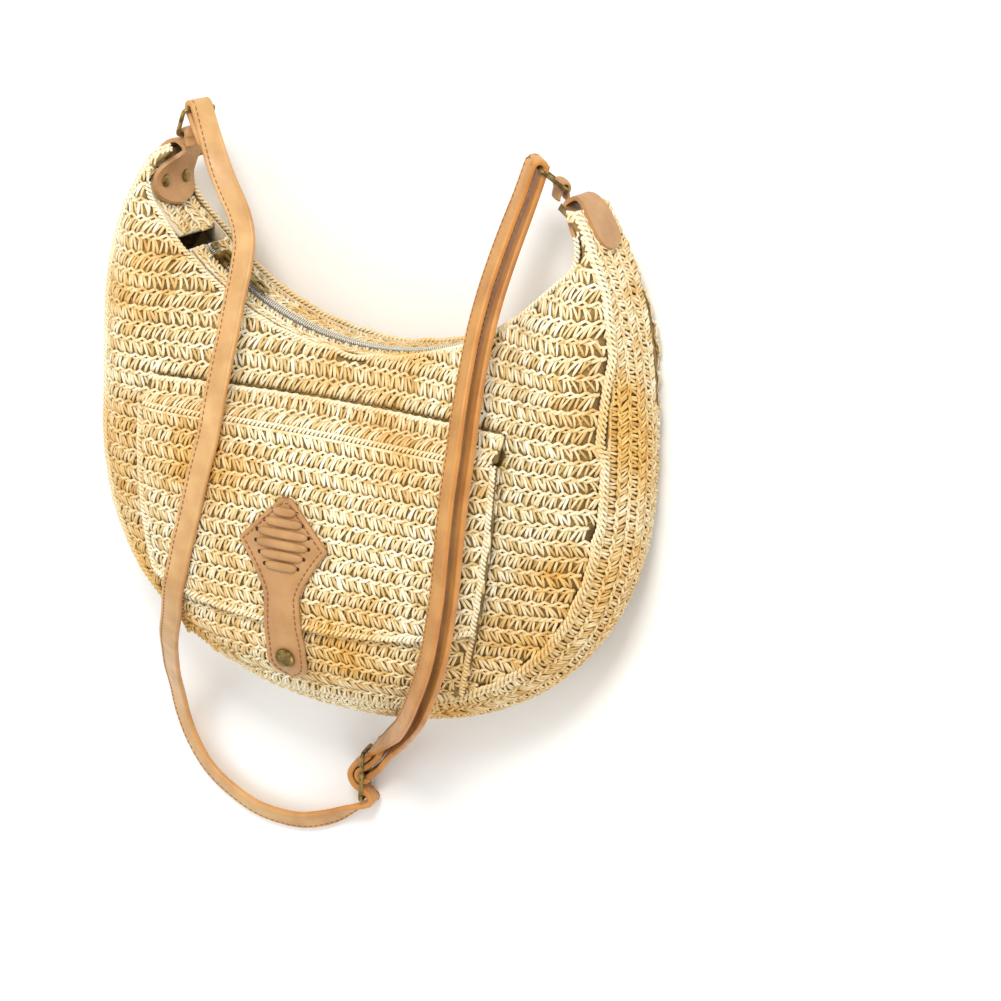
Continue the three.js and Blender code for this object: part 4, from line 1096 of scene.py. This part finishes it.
def make_zip():
    centre = np.array([*MOUTH_CENTRE, ZIP_LEVEL]) * MM
    angles = np.radians(np.linspace(-ZIP_END, ZIP_END, 190))
    radial = np.stack([np.sin(angles), -np.cos(angles), 0 * angles], -1)[:, None]
    lean = np.stack([np.cos(angles), np.sin(angles), 0 * angles], -1)[:, None]
    t = np.linspace(0, 1, 6)[:, None]
    out = COIL_RADIUS + 0.9 * np.cos(math.pi * t * 1.6)
    for name, side in (("front", 1), ("back", -1)):
        soft(f"zip_tape_{name}", f"tape_{name}", TAPE, slot="zip_tape")
        depth = side * (0.15 + 3.1 * np.sin(math.pi * t * 0.5))
        paths = centre + (radial * out + lean * 0.5 * (t - 0.5)) * MM
        paths = paths + np.array([0, 0, 1]) * depth * MM
        soup = Soup()
        tubes(soup, paths, radial * np.ones((1, 6, 1)), 0.42 * MM, 0.42 * MM, 4, 0.5, 0.7)
        attach(soup.build(f"coil_{name}", COIL), "bag", "zip_coil", f"zip_coil_{name}")
    soft("lining", "lining_bag", LINING, slot="lining_cloth")
    for name in ("left_horn_facing", "right_horn_facing"):
        soft(name, name + "_cloth", LINING)


make_zip()

# ---------------------------------------------------------------- closing tab, thongs and loops

TAB_X = -15
TAB_TOP_Y = 133
TAB_WIDE_Y = 108
TAB_NECK_Y = 79
TAB_END_Y = 30
TAB_HALF_WIDTH = 26.5
TAB_NECK_HALF = 10.5
TONGUE_HALF = 11.8
LEATHER = 2.2
LACE_PITCH = 5.9
LACE_HALF = [6.5, 11.5, 16, 16.5, 13.5, 9.5]
LACE_FIRST_Y = 126
THONG_SHARE = 0.84
THONG_HEIGHT = 1.15
HOLE_RADIUS = 1.15
HOLE_OUT = 1.9  # from a thong's end to its hole's middle


def smooth_step(low, high, value):
    t = min(1.0, max(0.0, (value - low) / (high - low)))
    return t * t * (3 - 2 * t)


def tab_half(y):
    if y > TAB_WIDE_Y:
        share = ((y - TAB_WIDE_Y) / (TAB_TOP_Y - TAB_WIDE_Y)) ** 1.05
        return TAB_HALF_WIDTH + (3 - TAB_HALF_WIDTH) * share
    if y > TAB_NECK_Y:
        share = ((y - TAB_NECK_Y) / (TAB_WIDE_Y - TAB_NECK_Y)) ** 1.35
        return TAB_NECK_HALF + (TAB_HALF_WIDTH - TAB_NECK_HALF) * share
    share = smooth_step(TAB_END_Y + 18, TAB_NECK_Y, y)
    round_end = min(1, (y - TAB_END_Y) / TONGUE_HALF)
    half = TONGUE_HALF + (TAB_NECK_HALF - TONGUE_HALF) * share
    return max(0.6, half * math.sqrt(max(0, 1 - (1 - round_end) ** 2)))


# The tab's section from its edge inwards: distance from the edge, height above the leather's face.
TAB_BORDER = [
    (0, -1.1), (0.15, -0.5), (0.5, -0.1), (1.1, 0.12), (2.0, 0.14), (2.5, -0.22), (3.0, -0.22), (3.6, 0.0),
]
TAB_STITCH_IN = 2.75


def tab_face():
    """Height of the tab's face along Y, read off the CAD node beside its snap."""
    tree = tree_of("closing_tab")
    rows = np.arange(TAB_END_Y + 0.6, TAB_TOP_Y - 0.2, 1.0)
    heights = []
    for y in rows:
        start = Vector((*place(TAB_X + min(3.6, 0.6 * tab_half(y)), y, 300),))
        hit = tree.ray_cast(start, Vector((0, 0, -1)))[0]
        heights.append(hit.z / MM if hit else heights[-1])
    for _ in range(2):
        heights[1:-1] = [(a + 2 * b + c) / 4 for a, b, c in zip(heights, heights[1:], heights[2:])]
    return lambda y: np.interp(y, rows, heights)


def make_tab():
    face = tab_face()
    ends = TAB_END_Y + 12 * (1 - np.cos(np.linspace(0, math.pi / 2, 12)))
    levels = np.concatenate([ends + 0.02, np.linspace(TAB_END_Y + 13, TAB_TOP_Y, 70)])
    halves = np.array([tab_half(y) for y in levels])
    slope = np.sqrt(1 + np.gradient(halves, levels) ** 2)
    profile = TAB_BORDER + [(None, 0.0)]
    section = []
    for d, h in profile:
        x = halves - np.minimum(d * slope, halves * 0.93) if d is not None else halves * 0.03
        section.append((x, np.full(len(levels), h)))
    right = [np.stack([TAB_X + x, levels, face(levels) + h], -1) for x, h in section]
    left = [np.stack([TAB_X - x, levels, face(levels) + h], -1) for x, h in section[::-1]]
    base = face(levels) - LEATHER + 0.3
    under = [np.stack([TAB_X + s * halves, levels, base], -1) for s in (-1, -0.6, 0, 0.6, 1)]
    rings = np.stack(right + left + under, 1)
    soup = Soup()
    quads = ring_quads(rings.shape[0], rings.shape[1], caps=False)
    soup.add(in_frame(rings), quads, 0.1, 0.4)
    attach(soup.build("tab_leather_face", TAB_TAN), "flap", "leather", "closing_tab")

    outline = []
    for side in (1, -1):
        for y, steep in list(zip(levels, slope))[::side]:
            inset = TAB_STITCH_IN * steep
            if tab_half(y) > inset + 1.2:
                outline.append((TAB_X + side * max(0, tab_half(y) - inset), y))
    outline = np.array(outline + outline[:1])
    reach = reach_along(outline)
    starts = np.arange(0, reach[-1] - 3, 3.3)
    steps = starts[:, None] + np.linspace(0, 2.2, 4)
    xs, ys = np.moveaxis(sample(steps, reach, outline), -1, 0)
    zs = face(ys) - 0.2 + np.array([-0.2, 0.2, 0.2, -0.2])
    soup = Soup()
    tubes(soup, in_frame(np.stack([xs, ys, zs], -1)), (0, 0, 1), 0.38 * MM, 0.32 * MM)
    attach(soup.build("tab_stitching", THREAD), "flap", "leather")

    thongs = Soup()
    hole_shades = Soup()
    across = np.array([-1.0, -0.985, -0.93, -0.8, -0.4, 0, 0.4, 0.8, 0.93, 0.985, 1.0])
    lift = np.array([-0.7, 0.1, 0.55, 0.8, 0.95, 1.0, 0.95, 0.8, 0.55, 0.1, -0.7])
    for index, half in enumerate(LACE_HALF):
        y = LACE_FIRST_Y - index * LACE_PITCH
        z = face(y)
        half *= THONG_SHARE
        path = np.stack([TAB_X + across * (half + 0.6), np.full(11, float(y)), z + lift * THONG_HEIGHT], -1)
        wide = np.array([1.1, 1.5, 1.9, 2.3, 2.45, 2.5, 2.45, 2.3, 1.9, 1.5, 1.1])
        tubes(thongs, in_frame(path)[None], (0, 0, 1), wide[None] * MM, 1.0 * MM, 10, 0.0, 0.45)
        # A dark disc in each punched hole, where a thong dives in: painted shade.
        for side in (-1, 1):
            x = TAB_X + side * (half + HOLE_OUT)
            stub = np.array([[x, y, z - 0.6], [x, y, z + 0.08]])
            tubes(hole_shades, in_frame(stub)[None], (1, 0, 0), HOLE_RADIUS * MM, HOLE_RADIUS * MM, 10)
    attach(thongs.build("tab_thongs", TAB_TAN), "flap", "leather", "tab_lacing")
    attach(hole_shades.build("tab_hole_shades", HOLE_SHADE), "flap", "leather")


HORN_CROWN_Y = 300.6


def make_loops():
    """The necks of the leather ends: each wraps its ring's bar and runs down into the crown below."""
    for name, ring in RINGS.items():
        centre, bar = ring["pivot"], ring["bar"]
        up = unit(np.array([0, 1.0, 0]) - bar * bar[1])
        side = np.cross(up, bar)
        radius = WIRE + 1.5
        angles = np.radians(np.linspace(-40, 220, 18))
        path = [centre + radius * (side * math.cos(a) + up * math.sin(a)) for a in angles]
        foot = centre - up * (centre[1] - HORN_CROWN_Y + 0.6)
        path = [foot + side * 2.6] + path + [foot - side * 2.6]
        path = np.array(path)
        path = np.concatenate([path[:1] - up * 1.2, path, path[-1:] - up * 1.2])
        normals = unit(path - centre)
        normals[:2], normals[-2:] = side, -side
        soup = Soup()
        tubes(soup, in_frame(path)[None], normals[None], 6.6 * MM, 1.35 * MM, 10, 0.0, 0.45)
        piece = soup.build(f"{name}_loop_leather", TAB_TAN)
        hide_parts(f"{name}_tab_loop")
        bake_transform(piece)


make_tab()
make_loops()

# ---------------------------------------------------------------- leather and metal kept from the CAD


def dress(name, material, width=0.35, segments=2):
    piece = nodes[name]
    piece.data.materials.clear()
    piece.data.materials.append(material)
    piece.data.polygons.foreach_set("use_smooth", np.full(len(piece.data.polygons), True))
    bevel = piece.modifiers.new("edge", "BEVEL")
    bevel.width = width * MM
    bevel.segments = segments
    bevel.limit_method = "ANGLE"
    bevel.angle_limit = BEVEL_FROM
    bevel.harden_normals = True


BEVEL_FROM = math.radians(35)
METAL_STARTS = ("snap_", "zip_stop", "zip_slider", "zip_pull")
METAL_ENDS = ("rivet_front", "rivet_back")
for name in nodes:
    if name.startswith(METAL_STARTS) or name.endswith(METAL_ENDS):
        dress(name, BRASS, 0.2)
    if name.endswith("horn_tab"):
        dress(name, TAB_TAN, 0.5)
